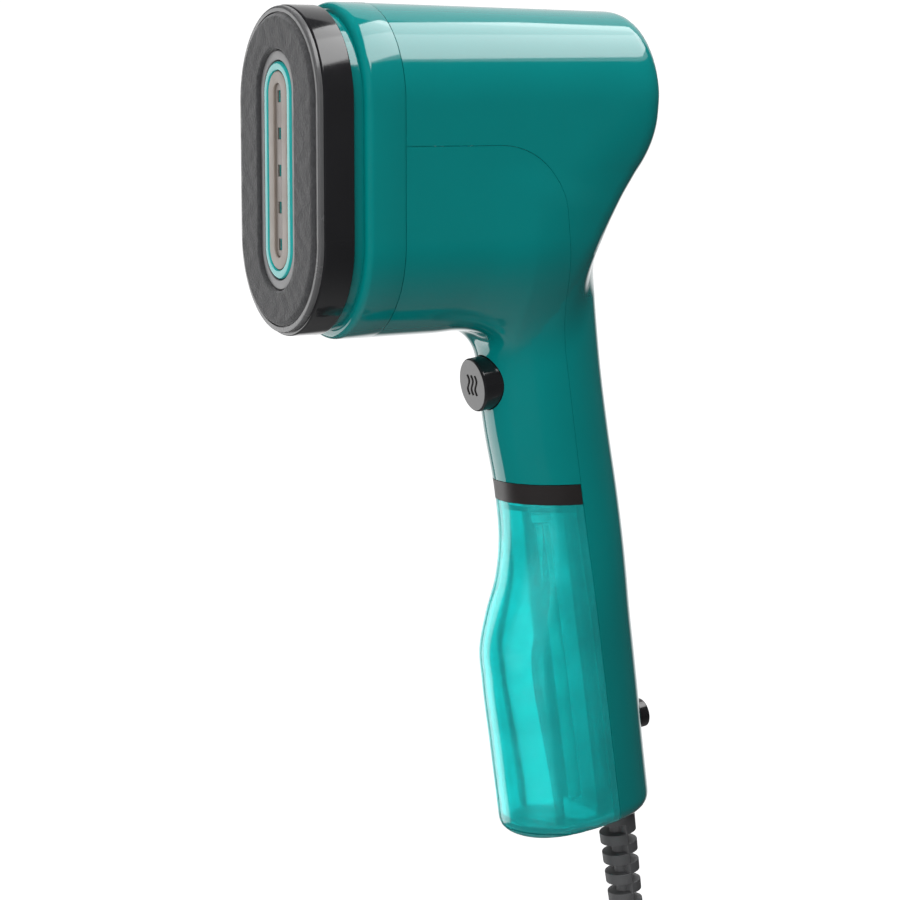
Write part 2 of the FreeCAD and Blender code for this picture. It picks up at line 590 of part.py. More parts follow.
# ---------------------------------------------------------------- tank
def tank_form(inset, z_low, z_high):
    """Tank body between two heights, its walls drawn in by inset."""
    side = side_prism([
        (-70.0, z_high),
        (rail_x(z_high) - TANK_GAP - inset, z_high),
        (rail_x(z_low) - TANK_GAP - inset, z_low),
        (-70.0, z_low),
    ])
    return handle_form(inset).common(side)


def make_tank():
    shell = tank_form(0.0, TANK_WELD_Z, BAND_BOTTOM_Z - 0.05)
    shell = shell.cut(tank_form(TANK_WALL, TANK_WELD_Z - 1, BAND_BOTTOM_Z + 1))
    export("tank_shell", shell)
    base = tank_form(0.0, FOOT_Z - 1, TANK_WELD_Z - 0.1)
    base = base.fuse(tank_form(TANK_WALL + 0.1, TANK_WELD_Z - 0.2, TANK_WELD_Z + 1.6))
    export("tank_base", base.removeSplitter())

    cap = tank_form(0.0, BAND_BOTTOM_Z, BAND_TOP_Z - 0.15)
    plug = tank_form(TANK_WALL + 0.1, BAND_BOTTOM_Z - 4.0, BAND_BOTTOM_Z + 0.1)
    groove = tank_form(0.0, BAND_BOTTOM_Z - 2.6, BAND_BOTTOM_Z - 1.1)
    seal_bed = tank_form(TANK_WALL + 1.2, BAND_BOTTOM_Z - 2.6, BAND_BOTTOM_Z - 1.1)
    cap = cap.fuse(plug.cut(groove.cut(seal_bed)))
    seal = tank_form(TANK_WALL + 0.05, BAND_BOTTOM_Z - 2.55, BAND_BOTTOM_Z - 1.15)
    export("tank_cap_seal", seal.cut(tank_form(TANK_WALL + 1.1, 0.0, BAND_BOTTOM_Z)))
    cap = cap.fuse(cylinder(dock_point(5.0), DOWN, 4.6, 10.0))
    cap = cap.cut(cylinder(dock_point(-2.0), DOWN, 4.6, 6.2))
    cap = cap.cut(cylinder(dock_point(0), DOWN, 1.5, 20.0))
    cap = cap.cut(cylinder(dock_point(5.6), DOWN, 3.1, 7.0))
    cap = cap.cut(cylinder(dock_point(14.0), DOWN, 2.05, 3.0))
    cap = cap.cut(cylinder(FILLER - DOWN * 2, DOWN, 4.4, 14.0))
    cap = cap.cut(cylinder(FILLER - DOWN * 2, DOWN, 5.1, 4.2))
    export("tank_cap", cap.removeSplitter())
    stopper = cylinder(FILLER + DOWN * 0.95, DOWN, 5.0, 1.2)
    stopper = stopper.fuse(cylinder(FILLER + DOWN * 1.0, DOWN, 4.3, 6.2))
    stopper = stopper.cut(cylinder(FILLER + DOWN * 3.0, DOWN, 3.2, 9.0))
    export("filler_stopper", stopper)
    export("tank_seal", pipe(dock_point(1.0), DOWN, 4.55, 3.25, 1.8))
    poppet = cylinder(dock_point(10.1), DOWN, 2.9, 2.4)
    poppet = poppet.fuse(cylinder(dock_point(8.6), DOWN, 1.2, 3.0))
    export("outlet_valve_poppet", poppet)
    export("outlet_valve_spring", spring(dock_point(5.7), DOWN, 2.1, 0.3, 4.35, 3))
    export("dip_tube", pipe(dock_point(14.05), DOWN, 2.0, 1.2, 88.0))


def make_spine_screws():
    screws = []
    for screw in SPINE_SCREWS:
        start = screw + INWARD * 0.3
        head = cylinder(start, INWARD, 1.6, 1.9)
        shank = cylinder(start, INWARD, 1.4, 12.0)
        slot = Part.makeBox(0.8, 3.4, 0.7, V(-0.1, -1.7, -0.35))
        slot = slot.transformed(FreeCAD.Placement(
            start, FreeCAD.Rotation(SIDE, -math.degrees(TILT))).toMatrix(), True)
        screws.append(head.fuse(shank).cut(slot))
    export("housing_screws", *screws)


# ---------------------------------------------------------------- cord
def coil_point(angle):
    """Point on the middle line of the coil; angle 0 is at +Y and turns upwards."""
    flat = V(0, math.cos(angle) * COIL_RADIUS, math.sin(angle) * COIL_RADIUS)
    return COIL_CENTRE + TILT_TURN.multVec(flat)


def make_strain_relief():
    start = CORD_GLAND - DOWN * 0.2
    relief = cylinder(start - DOWN * 3.0, DOWN, 5.6, 7.2)
    relief = relief.fuse(cylinder(start, DOWN, RELIEF_RADIUS, RELIEF_LENGTH - 0.2))
    relief = relief.cut(handle_form(0.0))
    relief = relief.fuse(cylinder(start - DOWN * 3.6, DOWN, 4.1, 4.0))
    count = int((RELIEF_LENGTH - 8.0) / RELIEF_PITCH)
    for step in range(count):
        side = 1 if step % 2 else -1
        slot = Part.makeBox(4.6, 14.0, 1.5, V(1.7 if side > 0 else -6.3, -7.0, -0.75))
        spot = start + DOWN * (6.2 + step * RELIEF_PITCH)
        slot = slot.transformed(FreeCAD.Placement(spot, TILT_TURN).toMatrix(), True)
        core = cylinder(start, DOWN, 2.3, RELIEF_LENGTH)
        relief = relief.cut(slot.cut(core))
    export("strain_relief", relief.removeSplitter())


def make_cord():
    start = CORD_GLAND + DOWN * (RELIEF_LENGTH - 0.2)
    lead_route = [start, V(29.6, 0.0, -147.6), V(32.3, -2.3, -157.3), V(34.7, -7.2, -166.3)]
    export("power_cord", rod_along(lead_route, CORD_DIAMETER / 2.0))
    ring = Part.makeTorus(COIL_RADIUS, COIL_BUNDLE_RADIUS, V(0, 0, 0), V(1, 0, 0))
    ring = ring.transformed(FreeCAD.Placement(COIL_CENTRE, TILT_TURN).toMatrix(), True)
    export("power_cord_coil", ring)
    tail_route = [coil_point(math.pi) + DOWN * 31.0, coil_point(math.pi) + DOWN * 54.0,
                  coil_point(math.pi) + DOWN * 78.0 + V(0, 4, 0)]
    export("power_cord_tail", rod_along(tail_route, CORD_DIAMETER / 2.0))
    tie = Part.makeTorus(COIL_RADIUS, COIL_BUNDLE_RADIUS + 1.3, V(0, 0, 0), V(1, 0, 0))
    tie = tie.cut(Part.makeTorus(COIL_RADIUS, COIL_BUNDLE_RADIUS + 0.1, V(0, 0, 0), V(1, 0, 0)))
    tie = tie.common(box((-20, 20), (-7, 7), (-70, -20)))
    tie = tie.transformed(FreeCAD.Placement(COIL_CENTRE, TILT_TURN).toMatrix(), True)
    export("cord_tie", tie)
    make_plug(tail_route[-1], (tail_route[-1] - tail_route[-2]).normalize())


def make_plug(start, direction):
    """Two-pin earthed plug: a sleeve, a round body and two pins."""
    sleeve = Part.makeCone(4.6, 6.2, 18.0, start, direction)
    body = cylinder(start + direction * 17.0, direction, 18.5, 19.0)
    edges = [e for e in body.Edges if e.BoundBox.DiagonalLength > 30]
    body = body.makeFillet(3.0, edges)
    across = direction.cross(SIDE).normalize()
    for side in (-1, 1):
        flat_start = start + direction * 10.0 + across * side * 14.5
        slab = Part.makeBox(12, 60, 60, V(0, -30, 0))
        turn = FreeCAD.Rotation(V(1, 0, 0), across * side)
        body = body.cut(slab.transformed(FreeCAD.Placement(flat_start, turn).toMatrix(), True))
    export("plug_body", sleeve.fuse(body).removeSplitter())
    face = start + direction * 36.0
    pins = []
    for side in (-1, 1):
        foot = face + V(0, side, 0).cross(direction).cross(direction).normalize() * 9.5
        pin = cylinder(foot, direction, 2.4, 19.0)
        tips = [e for e in pin.Edges if e.CenterOfMass.distanceToPoint(foot + direction * 19) < 0.1]
        pins.append(pin.makeFillet(1.2, tips))
    export("plug_pins", *pins)
    print("plug face", face, "axis", direction)


def main():
    os.makedirs("parts", exist_ok=True)
    make_shells()
    make_collar()
    make_bezel()
    make_pad()
    make_face()
    make_steam_chamber()
    make_pump()
    make_dock()
    make_board()
    make_trigger()
    make_power_button()
    make_cord_entry()
    make_tank()
    make_spine_screws()
    make_strain_relief()
    make_cord()


main()
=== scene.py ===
import json
import math

import bmesh
import bpy
import numpy as np
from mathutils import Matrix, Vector


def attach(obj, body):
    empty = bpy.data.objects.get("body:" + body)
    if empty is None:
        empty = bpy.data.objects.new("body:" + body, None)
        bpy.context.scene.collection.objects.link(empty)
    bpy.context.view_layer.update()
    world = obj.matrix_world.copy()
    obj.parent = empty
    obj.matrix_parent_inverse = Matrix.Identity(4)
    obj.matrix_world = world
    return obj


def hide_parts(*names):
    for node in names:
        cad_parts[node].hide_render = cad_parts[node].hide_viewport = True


# Handheld garment steamer, drawn around its fixed CAD frame. Shapes are worked out in
# millimetres in the CAD frame and made in metres.

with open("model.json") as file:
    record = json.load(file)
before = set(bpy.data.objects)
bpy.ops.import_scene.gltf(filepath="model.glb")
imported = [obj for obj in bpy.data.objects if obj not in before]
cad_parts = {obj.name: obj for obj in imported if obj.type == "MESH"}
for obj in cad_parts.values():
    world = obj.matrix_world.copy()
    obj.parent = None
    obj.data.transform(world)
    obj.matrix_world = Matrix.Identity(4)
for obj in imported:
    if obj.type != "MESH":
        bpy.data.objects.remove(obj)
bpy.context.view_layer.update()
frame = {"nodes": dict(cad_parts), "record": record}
MM = 0.001

TILT = math.radians(8.0)     # lean of the handle: its foot lies towards +X
DOWN = np.array([math.sin(TILT), 0.0, -math.cos(TILT)])      # along the handle
INWARD = np.array([math.cos(TILT), 0.0, math.sin(TILT)])     # from its front to its back

HEAD_Z = 119.3               # middle of the head's stadium section
HEAD_HALF_WIDTH = 28.9
HEAD_RISE = 48.1 - HEAD_HALF_WIDTH     # from the middle to the centre of either round end
HEAD_DROP = 1.2              # how much lower the lower end hangs
BEZEL_DROP = 0.6
SEAM_X = -68.3               # where the collar meets the shells
SEAM_TOP_Z = 126.4
SEAM_BEND = 22.0
SEAM_GAP = 0.12
WALL = 2.2

RAIL_X = -3.2                # back of the tank's space, at the height of the band's top
RAIL_GAP = 0.2
BAND_TOP_Z = 23.9
BAND_BOTTOM_Z = 17.6
TANK_WELD_Z = -85.8
TANK_WALL = 1.8
RIB_TOP_Z = 14.3
RIB_BOTTOM_Z = -83.8

DOCK = np.array([-11.5, -5.0, BAND_TOP_Z])
FILLER = np.array([-11.5, 6.8, BAND_TOP_Z])
TRIGGER_FACE = np.array([-31.4, 0.0, 53.8])
POWER_FACE = np.array([29.5, 0.0, -55.0])
CORD_GLAND = np.array([21.8, 0.0, -91.6])
HOUSING_SCREWS_Z = (8.0, -26.0)

# Camera, lights and floor are placed in metres.
CAMERA_PLACE = (-0.3911, -0.6620, 0.1385)
CAMERA_AIM = (-0.0390, 0.0, 0.0345)
LENS = 100.0
FLOOR_Z = -3.0
FLOOR_RADIUS = 40.0
HEAD_AIM = (-0.02, 0.0, 0.12)
TOP_AIM = (0.0, 0.0, 0.12)


# ---------------------------------------------------------------- camera
def make_camera():
    camera = bpy.data.objects.new("camera", bpy.data.cameras.new("camera"))
    bpy.context.scene.collection.objects.link(camera)
    camera.location = CAMERA_PLACE
    aim = Vector(CAMERA_AIM) - camera.location
    camera.rotation_euler = aim.to_track_quat("-Z", "Y").to_euler()
    camera.data.lens = LENS
    camera.data.sensor_width = 36.0
    camera.data.clip_start = 0.01
    camera.data.clip_end = 2.0 * FLOOR_RADIUS
    bpy.context.scene.camera = camera


# ---------------------------------------------------------------- materials
def node_material(name):
    material = bpy.data.materials.new(name)
    material.use_nodes = True
    tree = material.node_tree
    return material, tree, tree.nodes["Principled BSDF"]


def noise_node(tree, scale, detail=3.0, rough=0.5):
    """Noise fixed to the piece; scale is in cells to the metre."""
    coords = tree.nodes.get("Texture Coordinate") or tree.nodes.new("ShaderNodeTexCoord")
    noise = tree.nodes.new("ShaderNodeTexNoise")
    noise.inputs["Scale"].default_value = scale
    noise.inputs["Detail"].default_value = detail
    noise.inputs["Roughness"].default_value = rough
    tree.links.new(coords.outputs["Object"], noise.inputs["Vector"])
    return noise


def ramp_node(tree, source, stops):
    """Colours along source, from (place, colour) stops."""
    ramp = tree.nodes.new("ShaderNodeValToRGB")
    elements = ramp.color_ramp.elements
    while len(elements) < len(stops):
        elements.new(0.5)
    for element, (place, colour) in zip(elements, stops):
        element.position = place
        element.color = (*colour, 1.0)
    tree.links.new(source, ramp.inputs["Fac"])
    return ramp


def range_node(tree, source, low, high, from_low=0.3, from_high=0.7):
    node = tree.nodes.new("ShaderNodeMapRange")
    node.inputs["From Min"].default_value = from_low
    node.inputs["From Max"].default_value = from_high
    node.inputs["To Min"].default_value = low
    node.inputs["To Max"].default_value = high
    tree.links.new(source, node.inputs["Value"])
    return node


def bump_node(tree, source, distance, strength=1.0, normal=None):
    node = tree.nodes.new("ShaderNodeBump")
    node.inputs["Distance"].default_value = distance
    node.inputs["Strength"].default_value = strength
    tree.links.new(source, node.inputs["Height"])
    if normal is not None:
        tree.links.new(normal, node.inputs["Normal"])
    return node


def shade(colour, factor):
    return tuple(min(1.0, channel * factor) for channel in colour)


def moulded_plastic(name, colour, rough=(0.2, 0.3), grain=0.00001, grain_scale=1500.0,
                    variation=0.05, coat=0.0, specular=0.5, metallic=0.0):
    """Moulded plastic or metal: fine surface grain, slow ripple, small change of tone."""
    material, tree, shader = node_material(name)
    tone = noise_node(tree, 35.0, 4.0)
    stops = [(0.35, shade(colour, 1.0 - variation)), (0.65, shade(colour, 1.0 + variation))]
    ramp = ramp_node(tree, tone.outputs["Fac"], stops)
    tree.links.new(ramp.outputs["Color"], shader.inputs["Base Color"])
    smear = noise_node(tree, 120.0, 5.0, 0.6)
    spread = range_node(tree, smear.outputs["Fac"], rough[0], rough[1])
    tree.links.new(spread.outputs["Result"], shader.inputs["Roughness"])
    ripple = noise_node(tree, 60.0, 1.0)
    first = bump_node(tree, ripple.outputs["Fac"], grain * 2.0, 0.4)
    fine = noise_node(tree, grain_scale, 2.0)
    second = bump_node(tree, fine.outputs["Fac"], grain, 0.8, first.outputs["Normal"])
    tree.links.new(second.outputs["Normal"], shader.inputs["Normal"])
    shader.inputs["Metallic"].default_value = metallic
    shader.inputs["Specular IOR Level"].default_value = specular
    shader.inputs["Coat Weight"].default_value = coat
    shader.inputs["Coat Roughness"].default_value = 0.03
    return material


def felt_material(name, colour):
    """Pressed felt: tangled fibres with lighter ends and small pits."""
    material, tree, shader = node_material(name)
    fibre = noise_node(tree, 3400.0, 6.0, 0.75)
    clump = noise_node(tree, 900.0, 3.0, 0.6)
    cells = tree.nodes.new("ShaderNodeTexVoronoi")
    cells.inputs["Scale"].default_value = 1500.0
    coords = tree.nodes["Texture Coordinate"]
    tree.links.new(coords.outputs["Object"], cells.inputs["Vector"])
    mix = tree.nodes.new("ShaderNodeMath")
    mix.operation = "MULTIPLY_ADD"
    mix.inputs[1].default_value = 0.55
    tree.links.new(fibre.outputs["Fac"], mix.inputs[0])
    half = range_node(tree, clump.outputs["Fac"], 0.1, 0.34, 0.2, 0.8)
    tree.links.new(half.outputs["Result"], mix.inputs[2])
    stops = [(0.30, shade(colour, 0.62)), (0.5, colour), (0.72, shade(colour, 1.7))]
    ramp = ramp_node(tree, mix.outputs["Value"], stops)
    tree.links.new(ramp.outputs["Color"], shader.inputs["Base Color"])
    first = bump_node(tree, mix.outputs["Value"], 0.00035, 0.9)
    second = bump_node(tree, cells.outputs["Distance"], 0.0002, 0.5, first.outputs["Normal"])
    tree.links.new(second.outputs["Normal"], shader.inputs["Normal"])
    shader.inputs["Roughness"].default_value = 0.95
    shader.inputs["Specular IOR Level"].default_value = 0.15
    shader.inputs["Sheen Weight"].default_value = 0.25
    shader.inputs["Sheen Roughness"].default_value = 0.5
    return material


def tank_material(name, colour):
    """Tinted see-through plastic with slow ripples in its walls."""
    material, tree, shader = node_material(name)
    tone = noise_node(tree, 45.0, 3.0)
    stops = [(0.35, shade(colour, 0.82)), (0.65, shade(colour, 1.06))]
    ramp = ramp_node(tree, tone.outputs["Fac"], stops)
    tree.links.new(ramp.outputs["Color"], shader.inputs["Base Color"])
    smear = noise_node(tree, 160.0, 4.0)
    spread = range_node(tree, smear.outputs["Fac"], 0.08, 0.16)
    tree.links.new(spread.outputs["Result"], shader.inputs["Roughness"])
    ripple = noise_node(tree, 55.0, 2.0)
    bump = bump_node(tree, ripple.outputs["Fac"], 0.0006, 0.35)
    tree.links.new(bump.outputs["Normal"], shader.inputs["Normal"])
    shader.inputs["Transmission Weight"].default_value = 0.8
    shader.inputs["IOR"].default_value = 1.49
    shader.inputs["Coat Weight"].default_value = 0.3
    shader.inputs["Coat Roughness"].default_value = 0.03
    return material


def rubber_material(name, colour):
    return moulded_plastic(name, colour, (0.45, 0.6), 0.00003, 2200.0, 0.12, 0.0, 0.4)


def make_materials():
    teal = (0.0004, 0.150, 0.146)
    return {
        "teal_gloss": moulded_plastic("teal_gloss", teal, (0.05, 0.10), 0.000004, 900.0,
                                      0.02, 0.25, 0.5),
        "black_gloss": moulded_plastic("black_gloss", (0.010, 0.010, 0.011), (0.08, 0.16),
                                       0.000005, 900.0, 0.1, 0.15),
        "dark_grey_plastic": moulded_plastic("dark_grey_plastic", (0.07, 0.07, 0.072),
                                             (0.2, 0.3), 0.00001),
        "grey_felt": felt_material("grey_felt", (0.036, 0.036, 0.038)),
        "grey_plastic": moulded_plastic("grey_plastic", (0.10, 0.10, 0.102), (0.28, 0.4),
                                        0.00002),
        "bright_teal": moulded_plastic("bright_teal", (0.01, 0.27, 0.26), (0.12, 0.2),
                                       0.000008, 1200.0, 0.03, 0.2),
        "taupe_plate": moulded_plastic("taupe_plate", (0.165, 0.14, 0.12), (0.3, 0.42),
                                       0.00001, 1800.0, 0.06),
        "light_metal": moulded_plastic("light_metal", (0.12, 0.10, 0.088), (0.3, 0.42),
                                       0.00001, 2000.0, 0.08),
        "cast_aluminium": moulded_plastic("cast_aluminium", (0.55, 0.55, 0.56), (0.4, 0.6),
                                          0.00008, 1300.0, 0.12, 0.0, 0.5, 1.0),
        "white_rubber": rubber_material("white_rubber", (0.72, 0.71, 0.68)),
        "steel": moulded_plastic("steel", (0.6, 0.6, 0.6), (0.2, 0.34), 0.00001, 2600.0,
                                 0.06, 0.0, 0.5, 1.0),
        "white_plastic": moulded_plastic("white_plastic", (0.75, 0.75, 0.73), (0.3, 0.42),
                                         0.00001),
        "black_matte": moulded_plastic("black_matte", (0.014, 0.012, 0.012), (0.34, 0.46),
                                       0.00002, 2200.0, 0.1),
        "black_rubber": rubber_material("black_rubber", (0.018, 0.018, 0.018)),
        "board_green": moulded_plastic("board_green", (0.02, 0.16, 0.06), (0.35, 0.5),
                                       0.00001, 2400.0, 0.15),
        "wire_insulation": rubber_material("wire_insulation", (0.10, 0.12, 0.5)),
        "dark_grey_rubber": rubber_material("dark_grey_rubber", (0.06, 0.061, 0.063)),
        "tank_teal": tank_material("tank_teal", (0.03, 0.88, 0.87)),
        # Painted shade: a darker copy of the tank's own plastic for the ribs, standing in for
        # the shade they show through the clear wall.
        "tank_rib_painted_shade": tank_material("tank_rib_painted_shade", (0.001, 0.11, 0.11)),
        "cord_grey": rubber_material("cord_grey", (0.06, 0.062, 0.065)),
        "brass_nickel": moulded_plastic("brass_nickel", (0.66, 0.62, 0.52), (0.15, 0.28),
                                        0.000008, 2600.0, 0.05, 0.0, 0.5, 1.0),
    }


def paint_frame(materials):
    """Give every CAD node the material that its slot names."""
    slots = {row["node"]: row["material_slot"] for row in frame["record"]["subparts"]}
    for name, node in frame["nodes"].items():
        material = materials[slots[name]]
        if not node.data.materials:
            node.data.materials.append(material)
        for index in range(len(node.material_slots)):
            node.material_slots[index].material = material


# ---------------------------------------------------------------- body form
# Handle sections from foot to head: height, front, back, half width.
HANDLE = np.array([
    (-100.0, -17.4, 33.0, 19.0),
    (-80.0, -20.2, 30.6, 19.0),
    (-60.0, -23.0, 28.0, 19.0),
    (-40.0, -25.8, 25.6, 19.0),
    (-30.0, -26.7, 24.3, 19.0),
    (-18.0, -24.2, 22.6, 18.8),
    (-8.0, -21.0, 21.4, 18.4),
    (3.0, -19.7, 20.0, 18.0),
    (18.0, -20.9, 17.8, 17.6),
    (40.0, -25.2, 14.0, 17.5),
    (60.0, -27.9, 11.0, 17.5),
    (72.0, -28.2, 9.6, 17.5),
    (88.0, -28.6, 8.0, 17.5),
    (104.0, -29.2, 6.4, 17.0),
])
HANDLE_TOP_Z = 100.0
HANDLE_POWER = 2.06          # a little squarer than an ellipse, which has 2

# Underside of the handle's foot: x, height.
FOOT = np.array([
    (-30.0, -87.2),
    (-20.0, -89.0),
    (-14.8, -88.9),
    (-6.5, -87.8),
    (0.0, -86.6),
    (5.5, -85.7),
    (12.0, -84.8),
    (24.0, -83.4),
    (34.0, -82.0),
])

# The head's back is a flat, and below it a slope through TAIL_POINT faces away along TAIL_FACE.
HEAD_BACK_X = 19.5
TAIL_POINT = (18.2, 124.0)
TAIL_FACE = (0.826, -0.5637)
TAIL_LENGTH = 26.0           # how far ahead of the slope the head starts to narrow
TAIL_SQUEEZE = 4.5
LOW_DOWN_Z = 142.0           # where that narrowing starts, and how much lower it is full
LOW_DOWN_SPAN = 24.0
HEAD_TAPER = 0.014


def soft_max(a, b, reach):
    """Larger of the two, rounded over where they are within reach of each other."""
    return np.maximum(a, b) + np.maximum(reach - np.abs(a - b), 0.0) ** 2 / (4.0 * reach)


def soft_min(a, b, reach):
    return -soft_max(-a, -b, reach)


def through(z, heights, values):
    """Smooth curve through values at heights."""
    slopes = np.gradient(values, heights)
    index = np.clip(np.searchsorted(heights, z) - 1, 0, len(heights) - 2)
    span = heights[index + 1] - heights[index]
    t = np.clip((z - heights[index]) / span, 0.0, 1.0)
    return ((2 * t**3 - 3 * t**2 + 1) * values[index]
            + (t**3 - 2 * t**2 + t) * span * slopes[index]
            + (-2 * t**3 + 3 * t**2) * values[index + 1]
            + (t**3 - t**2) * span * slopes[index + 1])


def head_field(x, y, z):
    """Below zero inside the head: a stadium section, a flat back and a slope below it."""
    tail = (x - TAIL_POINT[0]) * TAIL_FACE[0] + (z - TAIL_POINT[1]) * TAIL_FACE[1]
    near_tail = np.clip(1.0 + tail / TAIL_LENGTH, 0.0, 1.0) ** 2
    low_down = np.clip((LOW_DOWN_Z - z) / LOW_DOWN_SPAN, 0.0, 1.0)
    half_width = (HEAD_HALF_WIDTH - HEAD_TAPER * (x - SEAM_X)
                  - TAIL_SQUEEZE * near_tail * low_down)
    level = np.clip(z - HEAD_Z, -HEAD_RISE - HEAD_DROP, HEAD_RISE)
    section = np.hypot(y, z - HEAD_Z - level) - half_width
    profile = soft_max(x - HEAD_BACK_X, tail, 5.0)
    return soft_max(section, profile, 6.5)


def handle_field(x, y, z):
    """Below zero inside the handle: oval sections closed by the foot and within the head."""
    front = through(z, HANDLE[:, 0], HANDLE[:, 1])
    back = through(z, HANDLE[:, 0], HANDLE[:, 2])
    half_width = through(z, HANDLE[:, 0], HANDLE[:, 3])
    half_depth = (back - front) / 2.0
    centre = (back + front) / 2.0
    ring = (np.abs((x - centre) / half_depth) ** HANDLE_POWER
            + np.abs(y / half_width) ** HANDLE_POWER) ** (1 / HANDLE_POWER)
    side = (ring - 1.0) * np.minimum(half_depth, half_width)
    foot = through(np.clip(x, FOOT[0, 0], FOOT[-1, 0]), FOOT[:, 0], FOOT[:, 1]) - z
    return soft_max(soft_max(side, foot, 5.4), z - HANDLE_TOP_Z, 4.0)


def body_field(x, y, z):
    """Head and handle together. The fillet between them is widest on the front's flanks."""
    behind = np.clip((x + 25.0) / 25.0, 0.0, 1.0)
    aside = np.clip(np.abs(y) / 17.0, 0.0, 1.0)
    reach = 10.9 - 1.4 * behind + (12.0 - 8.0 * behind) * aside * aside * (3 - 2 * aside)
    return soft_min(head_field(x, y, z), handle_field(x, y, z), reach)


def inset_field(inset, front_x):
    """Body form drawn in by inset and closed by a flat front at front_x."""
    def field(x, y, z):
        return np.maximum(body_field(x, y, z) + inset, front_x - x)
    return field


def gradient(field, points, step=0.02):
    x, y, z = points.T
    return np.stack([
        field(x + step, y, z) - field(x - step, y, z),
        field(x, y + step, z) - field(x, y - step, z),
        field(x, y, z + step) - field(x, y, z - step),
    ], axis=1) / (2 * step)


def settle(field, points, rounds=3):
    """Move points onto the field's zero surface."""
    for _ in range(rounds):
        slope = gradient(field, points)
        value = field(*points.T)
        points = points - slope * (value / np.maximum((slope**2).sum(1), 1e-6))[:, None]
    return points


def surface_of(field, low, high, pitch):
    """Closed quad mesh of the field's zero surface, one point in each grid cell it crosses."""
    axes = [np.arange(a, b + pitch, pitch) for a, b in zip(low, high)]
    grid = np.meshgrid(*axes, indexing="ij")
    inside = field(*grid) < 0.0
    count = sum(
        inside[i:inside.shape[0] - 1 + i, j:inside.shape[1] - 1 + j,
               k:inside.shape[2] - 1 + k].astype(int)
        for i in (0, 1) for j in (0, 1) for k in (0, 1))
    active = (count > 0) & (count < 8)
    number = np.full(active.shape, -1)
    number[active] = np.arange(active.sum())
    cells = np.argwhere(active)
    points = np.stack([axes[n][cells[:, n]] + pitch / 2 for n in range(3)], axis=1)
    quads = []
    for axis in range(3):
        one, two = [n for n in range(3) if n != axis]
        first = np.take(inside, range(inside.shape[axis] - 1), axis)
        second = np.take(inside, range(1, inside.shape[axis]), axis)
        for change, order in ((first & ~second, 1), (~first & second, -1)):
            where = np.argwhere(change)
            corners = []
            for step_one, step_two in ((0, 0), (-1, 0), (-1, -1), (0, -1)):
                cell = where.copy()
                cell[:, one] += step_one
                cell[:, two] += step_two
                corners.append(number[cell[:, 0], cell[:, 1], cell[:, 2]])
            quad = np.stack(corners, axis=1)
            outward = order if axis != 1 else -order
            quads.append(quad if outward > 0 else quad[:, ::-1])
    quads = np.concatenate(quads)
    ends = np.stack([quads.ravel(), np.roll(quads, -1, axis=1).ravel()])
    for _ in range(4):
        total = np.zeros_like(points)
        share = np.zeros(len(points))
        for a, b in ((ends[0], ends[1]), (ends[1], ends[0])):
            for n in range(3):
                total[:, n] += np.bincount(a, points[b, n], len(points))
            share += np.bincount(a, minlength=len(points))
        points = settle(field, 0.4 * points + 0.6 * total / share[:, None], 2)
    return settle(field, points, 3), quads


# ---------------------------------------------------------------- mesh helpers
def new_object(name, points, faces, material=None):
    mesh = bpy.data.meshes.new(name)
    mesh.from_pydata((np.asarray(points, float) * MM).tolist(), [],
                     [list(map(int, f)) for f in faces])
    mesh.validate()
    mesh.update()
    item = bpy.data.objects.new(name, mesh)
    bpy.context.scene.collection.objects.link(item)
    if material is not None:
        mesh.materials.append(material)
    return item


def prism(points, half_width=60.0):
    """Block across Y with an outline of (x, z) points."""
    count = len(points)
    area = sum(a[0] * b[1] - b[0] * a[1] for a, b in zip(points, points[1:] + points[:1]))
    if area > 0:
        points = points[::-1]
    corners = [(x, -half_width, z) for x, z in points] + [(x, half_width, z) for x, z in points]
    faces = [list(range(count))[::-1], list(range(count, 2 * count))]
    for n in range(count):
        m = (n + 1) % count
        faces.append([n, m, count + m, count + n])
    return new_object("cutter", corners, faces)


def bar(start, direction, radius, length, radius_end=None, sides=48):
    """Closed round bar or cone."""
    start, direction = np.asarray(start, float), np.asarray(direction, float)
    direction = direction / np.linalg.norm(direction)
    helper = np.array([0.0, 1.0, 0.0]) if abs(direction[1]) < 0.9 else np.array([1.0, 0, 0])
    u = np.cross(direction, helper)
    u /= np.linalg.norm(u)
    v = np.cross(direction, u)
    radius_end = radius if radius_end is None else radius_end
    points = []
    for end, size in ((start, radius), (start + direction * length, radius_end)):
        for n in range(sides):
            angle = 2 * math.pi * n / sides
            points.append(end + size * (u * math.cos(angle) + v * math.sin(angle)))
    faces = [list(range(sides)), list(range(sides, 2 * sides))[::-1]]
    for n in range(sides):
        m = (n + 1) % sides
        faces.append([m, n, sides + n, sides + m])
    item = new_object("cutter", points, faces)
    orient(item)
    return item


def orient(item):
    """Turn all faces outwards."""
    work = bmesh.new()
    work.from_mesh(item.data)
    bmesh.ops.recalc_face_normals(work, faces=work.faces)
    work.to_mesh(item.data)
    work.free()


def combine(item, other, operation):
    """Boolean of item with other, made into item's own mesh. The other is used up."""
    modifier = item.modifiers.new("cut", "BOOLEAN")
    modifier.object = other
    modifier.operation = operation
    modifier.solver = "MANIFOLD"
    depsgraph = bpy.context.evaluated_depsgraph_get()
    result = bpy.data.meshes.new_from_object(item.evaluated_get(depsgraph))
    item.modifiers.clear()
    old = item.data
    item.data = result
    result.name = item.name
    bpy.data.meshes.remove(old)
    remove(other)


def remove(item):
    mesh = item.data
    bpy.data.objects.remove(item)
    bpy.data.meshes.remove(mesh)


def copy_of(item, name):
    twin = bpy.data.objects.new(name, item.data.copy())
    bpy.context.scene.collection.objects.link(twin)
    return twin


